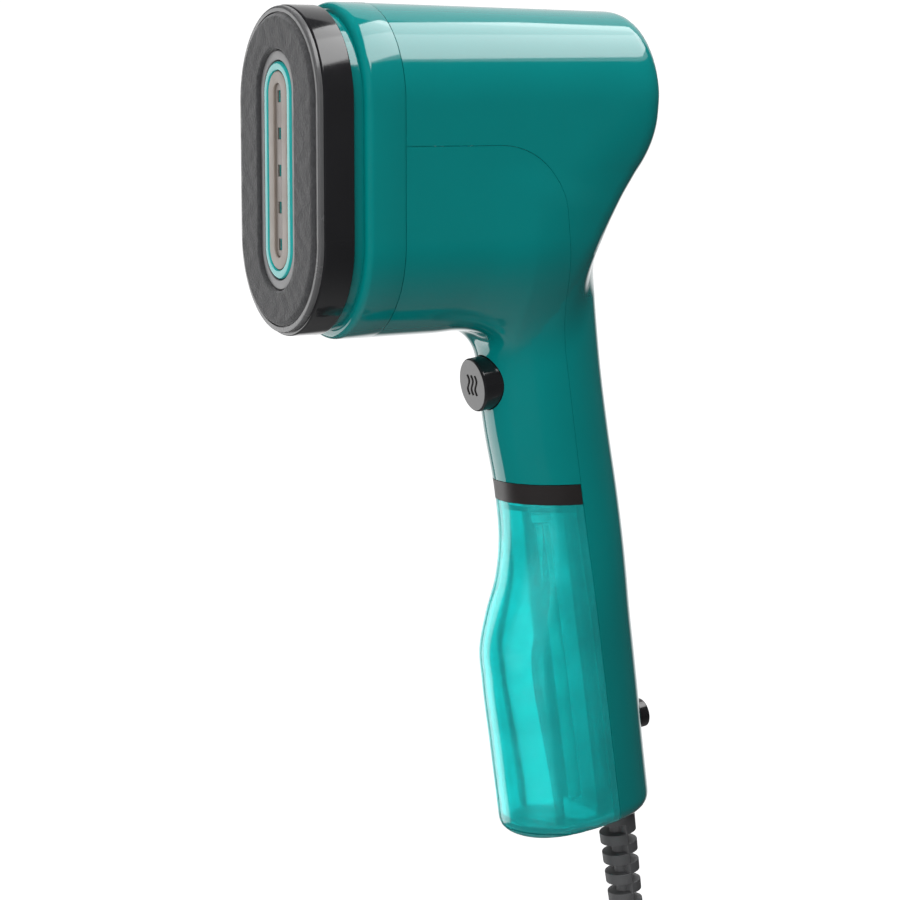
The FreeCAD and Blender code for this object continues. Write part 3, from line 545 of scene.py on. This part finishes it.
def smooth_by_form(item, insets):
    """Give form surfaces the form's own normals and cut faces their flat ones.

    The insets are how far inside the outer form the item's inner surfaces lie.
    """
    mesh = item.data
    points = np.zeros(len(mesh.vertices) * 3)
    mesh.vertices.foreach_get("co", points)
    points = points.reshape(-1, 3) / MM
    slope = gradient(body_field, points)
    slope /= np.maximum(np.linalg.norm(slope, axis=1), 1e-9)[:, None]
    value = body_field(*points.T)
    corner_vertex = np.zeros(len(mesh.loops), int)
    mesh.loops.foreach_get("vertex_index", corner_vertex)
    sizes = np.zeros(len(mesh.polygons), int)
    mesh.polygons.foreach_get("loop_total", sizes)
    flat = np.zeros(len(mesh.polygons) * 3)
    mesh.polygons.foreach_get("normal", flat)
    flat = np.repeat(flat.reshape(-1, 3), sizes, axis=0)
    normals = flat.copy()
    toward = slope[corner_vertex]
    agree = (flat * toward).sum(1)
    outside = (np.abs(value[corner_vertex]) < 0.03) & (agree > 0.8)
    normals[outside] = toward[outside]
    for inset in insets:
        within = (np.abs(value[corner_vertex] + inset) < 0.12) & (agree < -0.8)
        normals[within] = -toward[within]
    mesh.shade_smooth()
    mesh.normals_split_custom_set(normals.tolist())


def rail_x(z):
    """Back of the tank's space at height z."""
    return RAIL_X + (BAND_TOP_Z - z) * math.tan(TILT)


def dress(item, material, slot, body, *nodes):
    """Give item its material and body, and let it stand for CAD nodes."""
    item.data.materials.clear()
    item.data.materials.append(material)
    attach(item, body)
    if nodes:
        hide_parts(*nodes)


# ---------------------------------------------------------------- housing shells
def seam_outline(shift):
    """Outline of everything below and in front of the seam, down to the tank's band."""
    level = SEAM_TOP_Z - shift
    corner_x = rail_x(level) - shift
    sweep = math.tan((math.pi / 2 - TILT) / 2) * SEAM_BEND
    centre_x, centre_z = corner_x - sweep, level - SEAM_BEND
    below = BAND_TOP_Z - 10.0
    points = [(-120.0, below), (-120.0, level)]
    for n in range(13):
        angle = math.pi / 2 - (math.pi / 2 - TILT) * n / 12
        points.append((centre_x + SEAM_BEND * math.cos(angle),
                       centre_z + SEAM_BEND * math.sin(angle)))
    points.append((rail_x(below) - shift, below))
    return points


def tank_outline(grow):
    """Outline of the space that the tank fills, grown by grow."""
    top = BAND_TOP_Z + grow
    return [(-120.0, top), (rail_x(top) + grow, top), (rail_x(-130.0) + grow, -130.0),
            (-120.0, -130.0)]


def make_forms():
    """Closed meshes of the outer form and of its insides."""
    low, high = (-79.0, -33.0, -96.0), (40.0, 33.0, 172.0)
    pitch = 1.5
    rows = (("outer", 0.0, -75.0), ("hollow", WALL, -76.5), ("tank_hollow", TANK_WALL, -75.0))
    forms = {}
    for key, inset, front in rows:
        points, quads = surface_of(inset_field(inset, front), low, high, pitch)
        forms[key] = new_object(key, points, quads)
        orient(forms[key])
    return forms


def make_shells(forms, materials):
    """Front and rear shell, parted at the seam, with holes for what comes through them."""
    walls = copy_of(forms["outer"], "walls")
    combine(walls, prism(tank_outline(0.0)), "DIFFERENCE")
    combine(walls, prism([(-120.0, -130.0), (SEAM_X, -130.0), (SEAM_X, 200.0), (-120.0, 200.0)]),
            "DIFFERENCE")
    hollow = copy_of(forms["hollow"], "hollow_cut")
    combine(hollow, prism(tank_outline(WALL)), "DIFFERENCE")
    combine(walls, hollow, "DIFFERENCE")
    front = copy_of(walls, "front_housing")
    combine(front, prism(seam_outline(SEAM_GAP / 2)), "INTERSECT")
    combine(front, bar(TRIGGER_FACE - INWARD * 5, INWARD, 8.55, 20), "DIFFERENCE")
    combine(front, bar(DOCK - DOWN * 10, DOWN, 3.6, 20), "DIFFERENCE")
    rear = copy_of(walls, "rear_housing")
    combine(rear, prism(seam_outline(-SEAM_GAP / 2)), "DIFFERENCE")
    combine(rear, bar(POWER_FACE + INWARD * 10, -INWARD, 4.75, 20), "DIFFERENCE")
    combine(rear, bar(CORD_GLAND - DOWN * 10, DOWN, 4.3, 20), "DIFFERENCE")
    for z in HOUSING_SCREWS_Z:
        screw = np.array([rail_x(z), 0.0, z])
        combine(rear, bar(screw - INWARD * 5, INWARD, 1.7, 12), "DIFFERENCE")
    remove(walls)
    for item, node in ((front, "front_shell"), (rear, "rear_shell")):
        smooth_by_form(item, (WALL,))
        dress(item, materials["teal_gloss"], "teal_gloss", "housing", node)


# ---------------------------------------------------------------- water tank
def tank_block(z_low, z_high, inset=0.0):
    """Block ahead of the rail between two heights, drawn in by inset at its back."""
    return prism([(-120.0, z_high), (rail_x(z_high) - RAIL_GAP - inset, z_high),
                  (rail_x(z_low) - RAIL_GAP - inset, z_low), (-120.0, z_low)])


def make_tank(forms, materials):
    """Clear shell, the base welded below it, and the black cap on top."""
    shell = copy_of(forms["outer"], "tank_body")
    combine(shell, tank_block(TANK_WELD_Z, BAND_BOTTOM_Z - 0.08), "INTERSECT")
    hollow = copy_of(forms["tank_hollow"], "tank_hollow_cut")
    combine(hollow, tank_block(TANK_WELD_Z + 1.6, BAND_BOTTOM_Z + 5, TANK_WALL), "INTERSECT")
    combine(shell, hollow, "DIFFERENCE")
    smooth_by_form(shell, (TANK_WALL,))
    dress(shell, materials["tank_teal"], "tank_teal", "tank", "tank_shell")

    base = copy_of(forms["outer"], "tank_foot")
    combine(base, tank_block(-120.0, TANK_WELD_Z - 0.4), "INTERSECT")
    smooth_by_form(base, ())
    dress(base, materials["tank_teal"], "tank_teal", "tank", "tank_base")

    cap = copy_of(forms["outer"], "tank_band")
    combine(cap, tank_block(BAND_BOTTOM_Z, BAND_TOP_Z - RAIL_GAP), "INTERSECT")
    combine(cap, bar(DOCK - DOWN * 2, DOWN, 4.6, 6.2), "DIFFERENCE")
    combine(cap, bar(DOCK, DOWN, 1.5, 30.0), "DIFFERENCE")
    combine(cap, bar(FILLER - DOWN * 2, DOWN, 5.1, 4.2), "DIFFERENCE")
    combine(cap, bar(FILLER - DOWN * 2, DOWN, 4.4, 20.0), "DIFFERENCE")
    smooth_by_form(cap, ())
    dress(cap, materials["black_matte"], "black_matte", "tank", "tank_cap")


def make_tank_ribs(forms, materials):
    """Two moulded ribs on each inner side wall, one following the tank's wavy front."""
    wave = [(-14.0, RIB_TOP_Z), (-12.4, 2.0), (-11.9, -8.0), (-13.6, -19.0), (-15.8, -28.0),
            (-15.2, -38.0), (-12.9, -50.0), (-10.4, -62.0), (-8.4, -72.0),
            (-6.7, RIB_BOTTOM_Z)]
    heights = np.array([z for _, z in wave][::-1])
    middles = np.array([x for x, _ in wave][::-1])
    levels = np.linspace(RIB_BOTTOM_Z, RIB_TOP_Z, 60)
    curve = through(levels, heights, middles)
    half = 0.75
    wavy = [(x - half, z) for x, z in zip(curve, levels)]
    wavy += [(x + half, z) for x, z in zip(curve[::-1], levels[::-1])]
    straight = [(rail_x(z) - 4.6, z) for z in (RIB_BOTTOM_Z, RIB_TOP_Z)]
    straight += [(rail_x(z) - 2.2, z) for z in (RIB_TOP_Z, RIB_BOTTOM_Z)]
    middle = [(-60.0, -100.0), (60.0, -100.0), (60.0, 40.0), (-60.0, 40.0)]
    for name, outline, opening in (("tank_wavy_rib", wavy, 11.0),
                                   ("tank_back_rib", straight, 12.0)):
        rib = copy_of(forms["hollow"], name)
        combine(rib, prism(outline), "INTERSECT")
        combine(rib, prism(middle, opening), "DIFFERENCE")
        smooth_rims(rib)
        # Painted shade: the ribs are the tank's plastic, drawn darker to show their shade
        # through the wall.
        dress(rib, materials["tank_rib_painted_shade"], "tank_teal", "tank")


# ---------------------------------------------------------------- steam pad
def stadium_sweep(name, profile, arc_steps=56, straight_steps=24, sharp=30.0, drop=0.0):
    """Closed profile of (x, half width, half height) points carried round a stadium.

    The lower end hangs lower by drop.
    """
    places = []
    for end, first in ((1, 0.0), (-1, math.pi)):
        for n in range(straight_steps):
            places.append((end, 0.0, -end + 2.0 * end * n / straight_steps))
        for n in range(arc_steps):
            places.append((0, first + math.pi * n / arc_steps, end))
    points = []
    for x, half_width, half_height in profile:
        rise = half_height - half_width
        for side, angle, level in places:
            height = HEAD_Z + rise * level - drop * max(0.0, -level)
            if side:
                points.append((x, side * half_width, height))
            else:
                points.append((x, half_width * math.cos(angle),
                               height + half_width * math.sin(angle)))
    count, rows = len(places), len(profile)
    faces = []
    for row in range(rows):
        after = (row + 1) % rows
        for n in range(count):
            m = (n + 1) % count
            faces.append([row * count + n, row * count + m,
                          after * count + m, after * count + n])
    item = new_object(name, points, faces)
    orient(item)
    smooth_rims(item, sharp)
    return item


def smooth_rims(item, sharp=30.0):
    """Smooth shading with edges kept where faces turn by more than sharp degrees."""
    item.data.shade_smooth()
    item.data.set_sharp_from_angle(angle=math.radians(sharp))


def rounded(x, width, dx, dw, radius, steps=6):
    """Corner of a profile: from (x, width - dw * radius) round to (x + dx * radius, width)."""
    points = []
    for n in range(steps + 1):
        angle = math.pi / 2 * n / steps
        points.append((x + dx * radius * (1 - math.cos(angle)),
                       width - dw * radius * (1 - math.sin(angle))))
    return points


def lengthened(section, rise):
    """Section of (x, half width) points as (x, half width, half height)."""
    return [(x, width, width + rise) for x, width in section]


def make_head_rings(materials):
    """Collar and bezel, each a closed section carried round the head."""
    back, lip, half_width = SEAM_X - SEAM_GAP, -80.4, 29.0
    section = [(-83.8, 24.0), (-83.8, 26.2), (lip, 26.2)]
    section += rounded(lip, half_width, 1, 1, 2.2, 10)
    section += rounded(back, half_width, -1, 1, 0.25, 3)[::-1]
    section += [(back, 26.4), (-63.3, 26.4), (-63.3, 24.0)]
    collar = stadium_sweep("collar", lengthened(section, HEAD_RISE), drop=HEAD_DROP)
    dress(collar, materials["teal_gloss"], "teal_gloss", "housing", "front_collar")

    front, back, half_width, inner = -93.4, -83.9, 27.9, 24.3
    section = rounded(front, half_width, 1, 1, 0.7, 6)
    section += rounded(back, half_width, -1, 1, 0.6, 6)[::-1]
    section += [(back, 20.0), (-86.0, 20.0), (-86.0, inner)]
    section += rounded(front, inner, 1, -1, 0.3, 3)[::-1]
    bezel = stadium_sweep("bezel", lengthened(section, 19.3), drop=BEZEL_DROP)
    for y in (-21.3, 21.3):
        for z in (HEAD_Z - 15.0, HEAD_Z + 15.0):
            combine(bezel, bar((-90.0, y, z), (1, 0, 0), 1.7, 10), "DIFFERENCE")
    smooth_rims(bezel)
    dress(bezel, materials["black_gloss"], "black_gloss", "housing", "head_bezel")


def make_face_rings(materials):
    """Pad frame, vent surround, accent ring and steam plate."""
    section = [(-93.9, 12.7, 35.0), (-93.9, 25.9, 45.2), (-95.0, 25.9, 45.2)]
    section += lengthened(rounded(-95.0, 27.6, 1, 1, 0.8, 6), 19.3)
    section += [(-93.45, 27.6, 46.9), (-93.45, 24.0, 43.3), (-87.2, 24.0, 43.3),
                (-87.2, 22.6, 41.9), (-91.85, 22.6, 41.9), (-91.85, 12.7, 35.0)]
    ring = stadium_sweep("pad_rim", section)
    dress(ring, materials["dark_grey_plastic"], "dark_grey_plastic", "pad", "pad_frame")

    section = lengthened(rounded(-95.0, 12.0, 1, 1, 0.4, 4), 22.3)
    section += [(-91.3, 12.0, 34.3), (-91.3, 16.5, 38.5), (-90.2, 16.5, 38.5)]
    section += [(-90.2, 9.55, 31.45)]
    section += lengthened(rounded(-95.0, 9.55, 1, -1, 0.4, 4)[::-1], 21.9)
    ring = stadium_sweep("vent_rim", section)
    dress(ring, materials["grey_plastic"], "grey_plastic", "housing", "vent_surround")

    section = lengthened(rounded(-95.3, 9.3, 1, 1, 0.8, 6), 21.9)
    section += [(-91.4, 9.3, 31.2), (-91.4, 6.6, 28.6)]
    section += lengthened(rounded(-95.3, 6.6, 1, -1, 0.5, 4)[::-1], 22.0)
    ring = stadium_sweep("accent_rim", section)
    dress(ring, materials["bright_teal"], "bright_teal", "housing", "accent_ring")

    section = lengthened(rounded(-95.1, 6.45, 1, 1, 0.3, 4), 22.0)
    section += [(-91.4, 6.45, 28.45), (-91.4, 2.6, 24.9)]
    section += lengthened(rounded(-95.1, 2.6, 1, -1, 0.3, 4)[::-1], 22.3)
    ring = stadium_sweep("face_plate", section)
    dress(ring, materials["taupe_plate"], "taupe_plate", "housing", "steam_plate")


def make_outlets(materials):
    """Teal insert with a steam hole in each opening of the nozzle strip."""
    pitch, half_width, half_height = 10.6, 1.07, 1.67
    inserts = []
    for step in range(-2, 3):
        z = HEAD_Z + pitch * step
        insert = prism([(-94.0, z - half_height), (-91.5, z - half_height),
                        (-91.5, z + half_height), (-94.0, z + half_height)], half_width)
        combine(insert, bar((-95.0, 0.0, z), (1, 0, 0), 0.75, 3.0, 0.45, 24), "DIFFERENCE")
        combine(insert, bar((-94.2, 0.0, z + 0.75), (1, 0, 0), 0.4, 0.9, 0.4, 24), "DIFFERENCE")
        inserts.append(insert)
    outlets = inserts[0]
    for insert in inserts[1:]:
        combine(outlets, insert, "UNION")
    outlets.name = "steam_outlets"
    smooth_rims(outlets)
    dress(outlets, materials["teal_gloss"], "teal_gloss", "housing")


def make_pad(materials):
    """Felt ring with soft shoulders and a front that is flat but for its fibres' unevenness."""
    front, back, inner, outer = -96.0, -93.95, 12.35, 25.6
    rows = 22
    section = rounded(front, inner, 1, -1, 0.9, 6)[::-1]
    section += [(front, inner + 1.0 + (outer - inner - 3.0) * n / rows)
                for n in range(1, rows)]
    section += rounded(front, outer, 1, 1, 1.9, 10)
    section += [(back, outer), (back, inner)]
    share = (44.9 - 34.6) / (25.6 - 12.3)     # growth of the half height with the half width
    profile = [(x, w, 34.6 + (w - 12.3) * share) for x, w in section]
    pad = stadium_sweep("felt_pad", profile, 120, 60, 60.0)
    points = np.array([v.co for v in pad.data.vertices])
    wave = (np.sin(points[:, 1] * 900 + 3 * np.sin(points[:, 2] * 410))
            + np.sin(points[:, 2] * 760 + 2 * np.sin(points[:, 1] * 530)))
    ahead = points[:, 0] < -0.0945
    points[ahead, 0] += 0.00004 * wave[ahead]
    pad.data.vertices.foreach_set("co", points.ravel())
    dress(pad, materials["grey_felt"], "grey_felt", "pad", "fabric_pad")


# ---------------------------------------------------------------- trigger symbol
def make_symbol(materials):
    """Three rising wisps of steam, raised on the trigger's face."""
    curve = bpy.data.curves.new("steam_symbol", "CURVE")
    curve.dimensions = "3D"
    curve.bevel_depth = 0.0003
    curve.bevel_resolution = 3
    curve.resolution_u = 6
    wisp = [0.75 * side for side in (0, 1, 1, 0, -1, -1, 0)]
    length, steps = 6.0, len(wisp) - 1
    for place in (-2.3, 0.0, 2.3):
        spline = curve.splines.new("NURBS")
        spline.points.add(steps)
        for index, (sway, point) in enumerate(zip(wisp, spline.points)):
            rise = -length / 2 + length * index / steps
            spot = TRIGGER_FACE - INWARD * 0.02 - DOWN * rise
            point.co = (spot[0] * MM, (place + sway) * MM, spot[2] * MM, 1.0)
        spline.order_u = 3
        spline.use_endpoint_u = True
    symbol = bpy.data.objects.new("steam_symbol", curve)
    bpy.context.scene.collection.objects.link(symbol)
    curve.materials.append(materials["black_matte"])
    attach(symbol, "trigger")


# ---------------------------------------------------------------- cord
LEAD = [(28.17, 0.0, -136.95), (29.6, 0.0, -147.6), (31.9, -2.0, -156.6)]
CORD_RADIUS = 3.5
COIL_CENTRE = np.array([42.2, 0.0, -215.5])
COIL_RADIUS = 42.0
WHOLE_TURNS = 6
STRANDS = 7                  # places round the bundle that the turns shift through
STRAND_RING = 8.15
POINTS_A_TURN = 20
RELIEF_SLOTS = 13


def coil_place(angle, radial, axial):
    """Point on the coil at angle, off its middle line by radial outwards and axial along.

    The coil's plane leans with the handle.
    """
    radius = COIL_RADIUS + radial
    sideways = np.array([0.0, math.cos(angle) * radius, 0.0])
    return COIL_CENTRE + INWARD * axial + sideways - DOWN * math.sin(angle) * radius


def cord_points():
    """Route down from the strain relief, round the coil and on to the plug."""
    points = [np.array(p) for p in LEAD]
    first = math.pi / 2 + 0.32
    last = math.pi + 2 * math.pi * WHOLE_TURNS
    count = int(round((last - first) / (2 * math.pi) * POINTS_A_TURN))
    for n in range(count + 1):
        angle = first + (last - first) * n / count
        turn = (angle - first) / (2 * math.pi)
        slot_angle = math.pi / 2 + 2 * math.pi * turn / STRANDS
        radial = STRAND_RING * math.sin(slot_angle)
        axial = -STRAND_RING * math.cos(slot_angle)
        points.append(coil_place(angle, radial, axial))
    foot = coil_place(math.pi, 0.0, 0.0)
    end = points[-1]
    points.append(end * 0.62 + (foot + DOWN * 31.0) * 0.38 + np.array([0.0, -0.4, 0.0]))
    points.append(foot + DOWN * 31.0 + np.array([0.0, -1.0, 0.0]))
    points.append(foot + DOWN * 54.0)
    points.append(foot + DOWN * 78.0 + np.array([0.0, 4.0, 0.0]))
    return points


def make_relief(materials):
    """Tapering ribbed sleeve, its slots open to either side in turn."""
    start = CORD_GLAND - DOWN * 0.2
    relief = bar(start - DOWN * 8.5, DOWN, 6.2, 54.1, 4.9)
    core = bar(start - DOWN * 9.0, DOWN, 2.6, 54.5, 2.4)
    pitch, half_slot = 3.35, DOWN * 1.6
    for step in range(RELIEF_SLOTS):
        side = 1.0 if step % 2 else -1.0
        spot = start + DOWN * (-0.5 + step * pitch)
        near, far = spot + INWARD * side * 0.2, spot + INWARD * side * 7.5
        corners = [near - half_slot, far - half_slot, far + half_slot, near + half_slot]
        combine(relief, prism([(c[0], c[2]) for c in corners], 9.0), "DIFFERENCE")
    combine(relief, core, "UNION")
    relief.name = "cord_relief"
    smooth_rims(relief, 40.0)
    bevel = relief.modifiers.new("edges", "BEVEL")
    bevel.width = 0.00025
    bevel.segments = 2
    bevel.limit_method = "ANGLE"
    bevel.angle_limit = math.radians(40.0)
    dress(relief, materials["dark_grey_rubber"], "dark_grey_rubber", "housing", "strain_relief")
    return relief


def make_strap(materials):
    """Rubber strap wound round the bundle at the bottom of the coil."""
    band = []
    radius = STRAND_RING + CORD_RADIUS + 0.35
    rows, ring = 15, 40
    half_length = 7.0
    for row in range(rows):
        along = -half_length + 2 * half_length * row / (rows - 1)
        angle = -math.pi / 2 + along / COIL_RADIUS
        edge = 0.0 if 0 < row < rows - 1 else -0.3
        for n in range(ring):
            around = 2 * math.pi * n / ring
            band.append(coil_place(angle, (radius + edge) * math.cos(around),
                                   (radius + edge) * math.sin(around)))
    faces = []
    for row in range(rows - 1):
        for n in range(ring):
            m = (n + 1) % ring
            faces.append([row * ring + n, row * ring + m, (row + 1) * ring + m,
                          (row + 1) * ring + n])
    tie = new_object("cord_strap", band, faces)
    orient(tie)
    thick = tie.modifiers.new("thick", "SOLIDIFY")
    thick.thickness = 0.0009
    thick.offset = 1.0
    tie.data.shade_smooth()
    dress(tie, materials["black_rubber"], "black_rubber", "housing", "cord_tie")
    return tie


def make_cord(materials):
    """Mains cord with its relief and strap."""
    relief = make_relief(materials)
    curve = bpy.data.curves.new("mains_cord", "CURVE")
    curve.dimensions = "3D"
    curve.bevel_depth = CORD_RADIUS * MM
    curve.bevel_resolution = 6
    curve.resolution_u = 8
    spline = curve.splines.new("NURBS")
    points = cord_points()
    spline.points.add(len(points) - 1)
    for place, point in zip(points, spline.points):
        point.co = (*(place * MM), 1.0)
    spline.order_u = 3
    spline.use_endpoint_u = True
    curve.use_fill_caps = True
    cord = bpy.data.objects.new("mains_cord", curve)
    bpy.context.scene.collection.objects.link(cord)
    curve.materials.append(materials["cord_grey"])
    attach(cord, "housing")
    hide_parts("power_cord", "power_cord_coil", "power_cord_tail")

    tie = make_strap(materials)


# ---------------------------------------------------------------- stage and light
# The bright backdrop, which the world lights and the floor shows as a painted glow: its middle
# as seen from the origin, the cosines off that middle where it starts and is full, and a stretch
# of heights that makes it wider than tall.
BACKDROP_WAY = (0.452, 0.850, -0.270)
BACKDROP_EDGE = (0.80, 0.93)
BACKDROP_STRETCH = (1.0, 1.0, 2.0)
BACKDROP_STRENGTH = 1.08
PALE = ((0.74, 0.74, 0.74), (0.78, 0.78, 0.78))


def toward_backdrop(tree, output, low):
    """Socket that rises from low to the backdrop's strength in the directions behind the object.

    The directions are those of places in space, named by the coordinates' output.
    """
    coords = tree.nodes.new("ShaderNodeTexCoord")
    stretch = tree.nodes.new("ShaderNodeVectorMath")
    stretch.operation = "MULTIPLY"
    stretch.inputs[1].default_value = BACKDROP_STRETCH
    tree.links.new(coords.outputs[output], stretch.inputs[0])
    unit = tree.nodes.new("ShaderNodeVectorMath")
    unit.operation = "NORMALIZE"
    tree.links.new(stretch.outputs["Vector"], unit.inputs[0])
    toward = tree.nodes.new("ShaderNodeVectorMath")
    toward.operation = "DOT_PRODUCT"
    toward.inputs[1].default_value = BACKDROP_WAY
    tree.links.new(unit.outputs["Vector"], toward.inputs[0])
    level = range_node(tree, toward.outputs["Value"], low, BACKDROP_STRENGTH, *BACKDROP_EDGE)
    level.interpolation_type = "SMOOTHSTEP"
    return level.outputs["Result"]


def make_stage():
    """Large pale floor well below the object, with a painted glow where it lies behind it: it
    emits light there though it is no lamp.
    """
    material, tree, shader = node_material("stage_paint")
    tone = noise_node(tree, 3.0, 4.0)
    ramp = ramp_node(tree, tone.outputs["Fac"], [(0.3, PALE[0]), (0.7, PALE[1])])
    tree.links.new(ramp.outputs["Color"], shader.inputs["Base Color"])
    shader.inputs["Roughness"].default_value = 0.9
    shader.inputs["Specular IOR Level"].default_value = 0.1
    # Painted glow: emission makes the floor bright behind the object, a pool of light that no
    # lamp casts.
    shader.inputs["Emission Color"].default_value = (1.0, 1.0, 1.0, 1.0)
    tree.links.new(toward_backdrop(tree, "Object", 0.0), shader.inputs["Emission Strength"])
    sides = 96
    turns = [2 * math.pi * n / sides for n in range(sides)]
    points = [(FLOOR_RADIUS * math.cos(turn), FLOOR_RADIUS * math.sin(turn), FLOOR_Z)
              for turn in turns]
    floor = new_object("stage_floor", np.array(points) / MM, [list(range(sides))], material)


def area_light(name, spot, aim, size, power, mirrored=True):
    """Softbox; one that isn't mirrored lights the object without showing in its gloss."""
    light = bpy.data.lights.new(name, "AREA")
    light.shape = "RECTANGLE"
    light.size, light.size_y = size
    light.energy = power
    item = bpy.data.objects.new(name, light)
    bpy.context.scene.collection.objects.link(item)
    item.location = spot
    way = Vector(aim) - Vector(spot)
    item.rotation_euler = way.to_track_quat("-Z", "Y").to_euler()
    item.visible_glossy = mirrored


def make_world():
    """Dim surroundings, bright behind the object."""
    world = bpy.data.worlds.new("studio")
    world.use_nodes = True
    tree = world.node_tree
    back = tree.nodes["Background"]
    back.inputs["Color"].default_value = (1.0, 1.0, 1.0, 1.0)
    tree.links.new(toward_backdrop(tree, "Generated", 0.07), back.inputs["Strength"])
    bpy.context.scene.world = world


def make_lights():
    """Softboxes above, in front and behind, shown without a film look."""
    area_light("overhead_softbox", (0.34, -0.30, 1.02), HEAD_AIM, (1.5, 0.60), 13.0)
    area_light("lower_softbox", (0.34, -0.44, 0.98), HEAD_AIM, (1.4, 0.5), 3.0)
    area_light("left_fill", (-1.45, -1.0, 0.1), (0.0, 0.0, 0.0), (2.2, 2.4), 56.0, False)
    area_light("rear_left_fill", (-0.9, 1.6, -0.3), (-0.05, 0.0, 0.05), (1.2, 1.5), 12.0)
    area_light("top_fill", (0.05, 0.45, 1.25), TOP_AIM, (1.1, 0.9), 22.0, False)
    area_light("top_sheen", (0.65, 0.85, 0.9), TOP_AIM, (1.5, 1.2), 4.0)
    bpy.context.scene.view_settings.view_transform = "Standard"
    bpy.context.scene.view_settings.look = "None"


def main():
    make_camera()
    materials = make_materials()
    make_cord(materials)
    paint_frame(materials)
    forms = make_forms()
    make_shells(forms, materials)
    make_tank(forms, materials)
    make_tank_ribs(forms, materials)
    for form in forms.values():
        remove(form)
    make_head_rings(materials)
    make_face_rings(materials)
    make_outlets(materials)
    make_pad(materials)
    make_symbol(materials)
    make_stage()
    make_world()
    make_lights()


main()
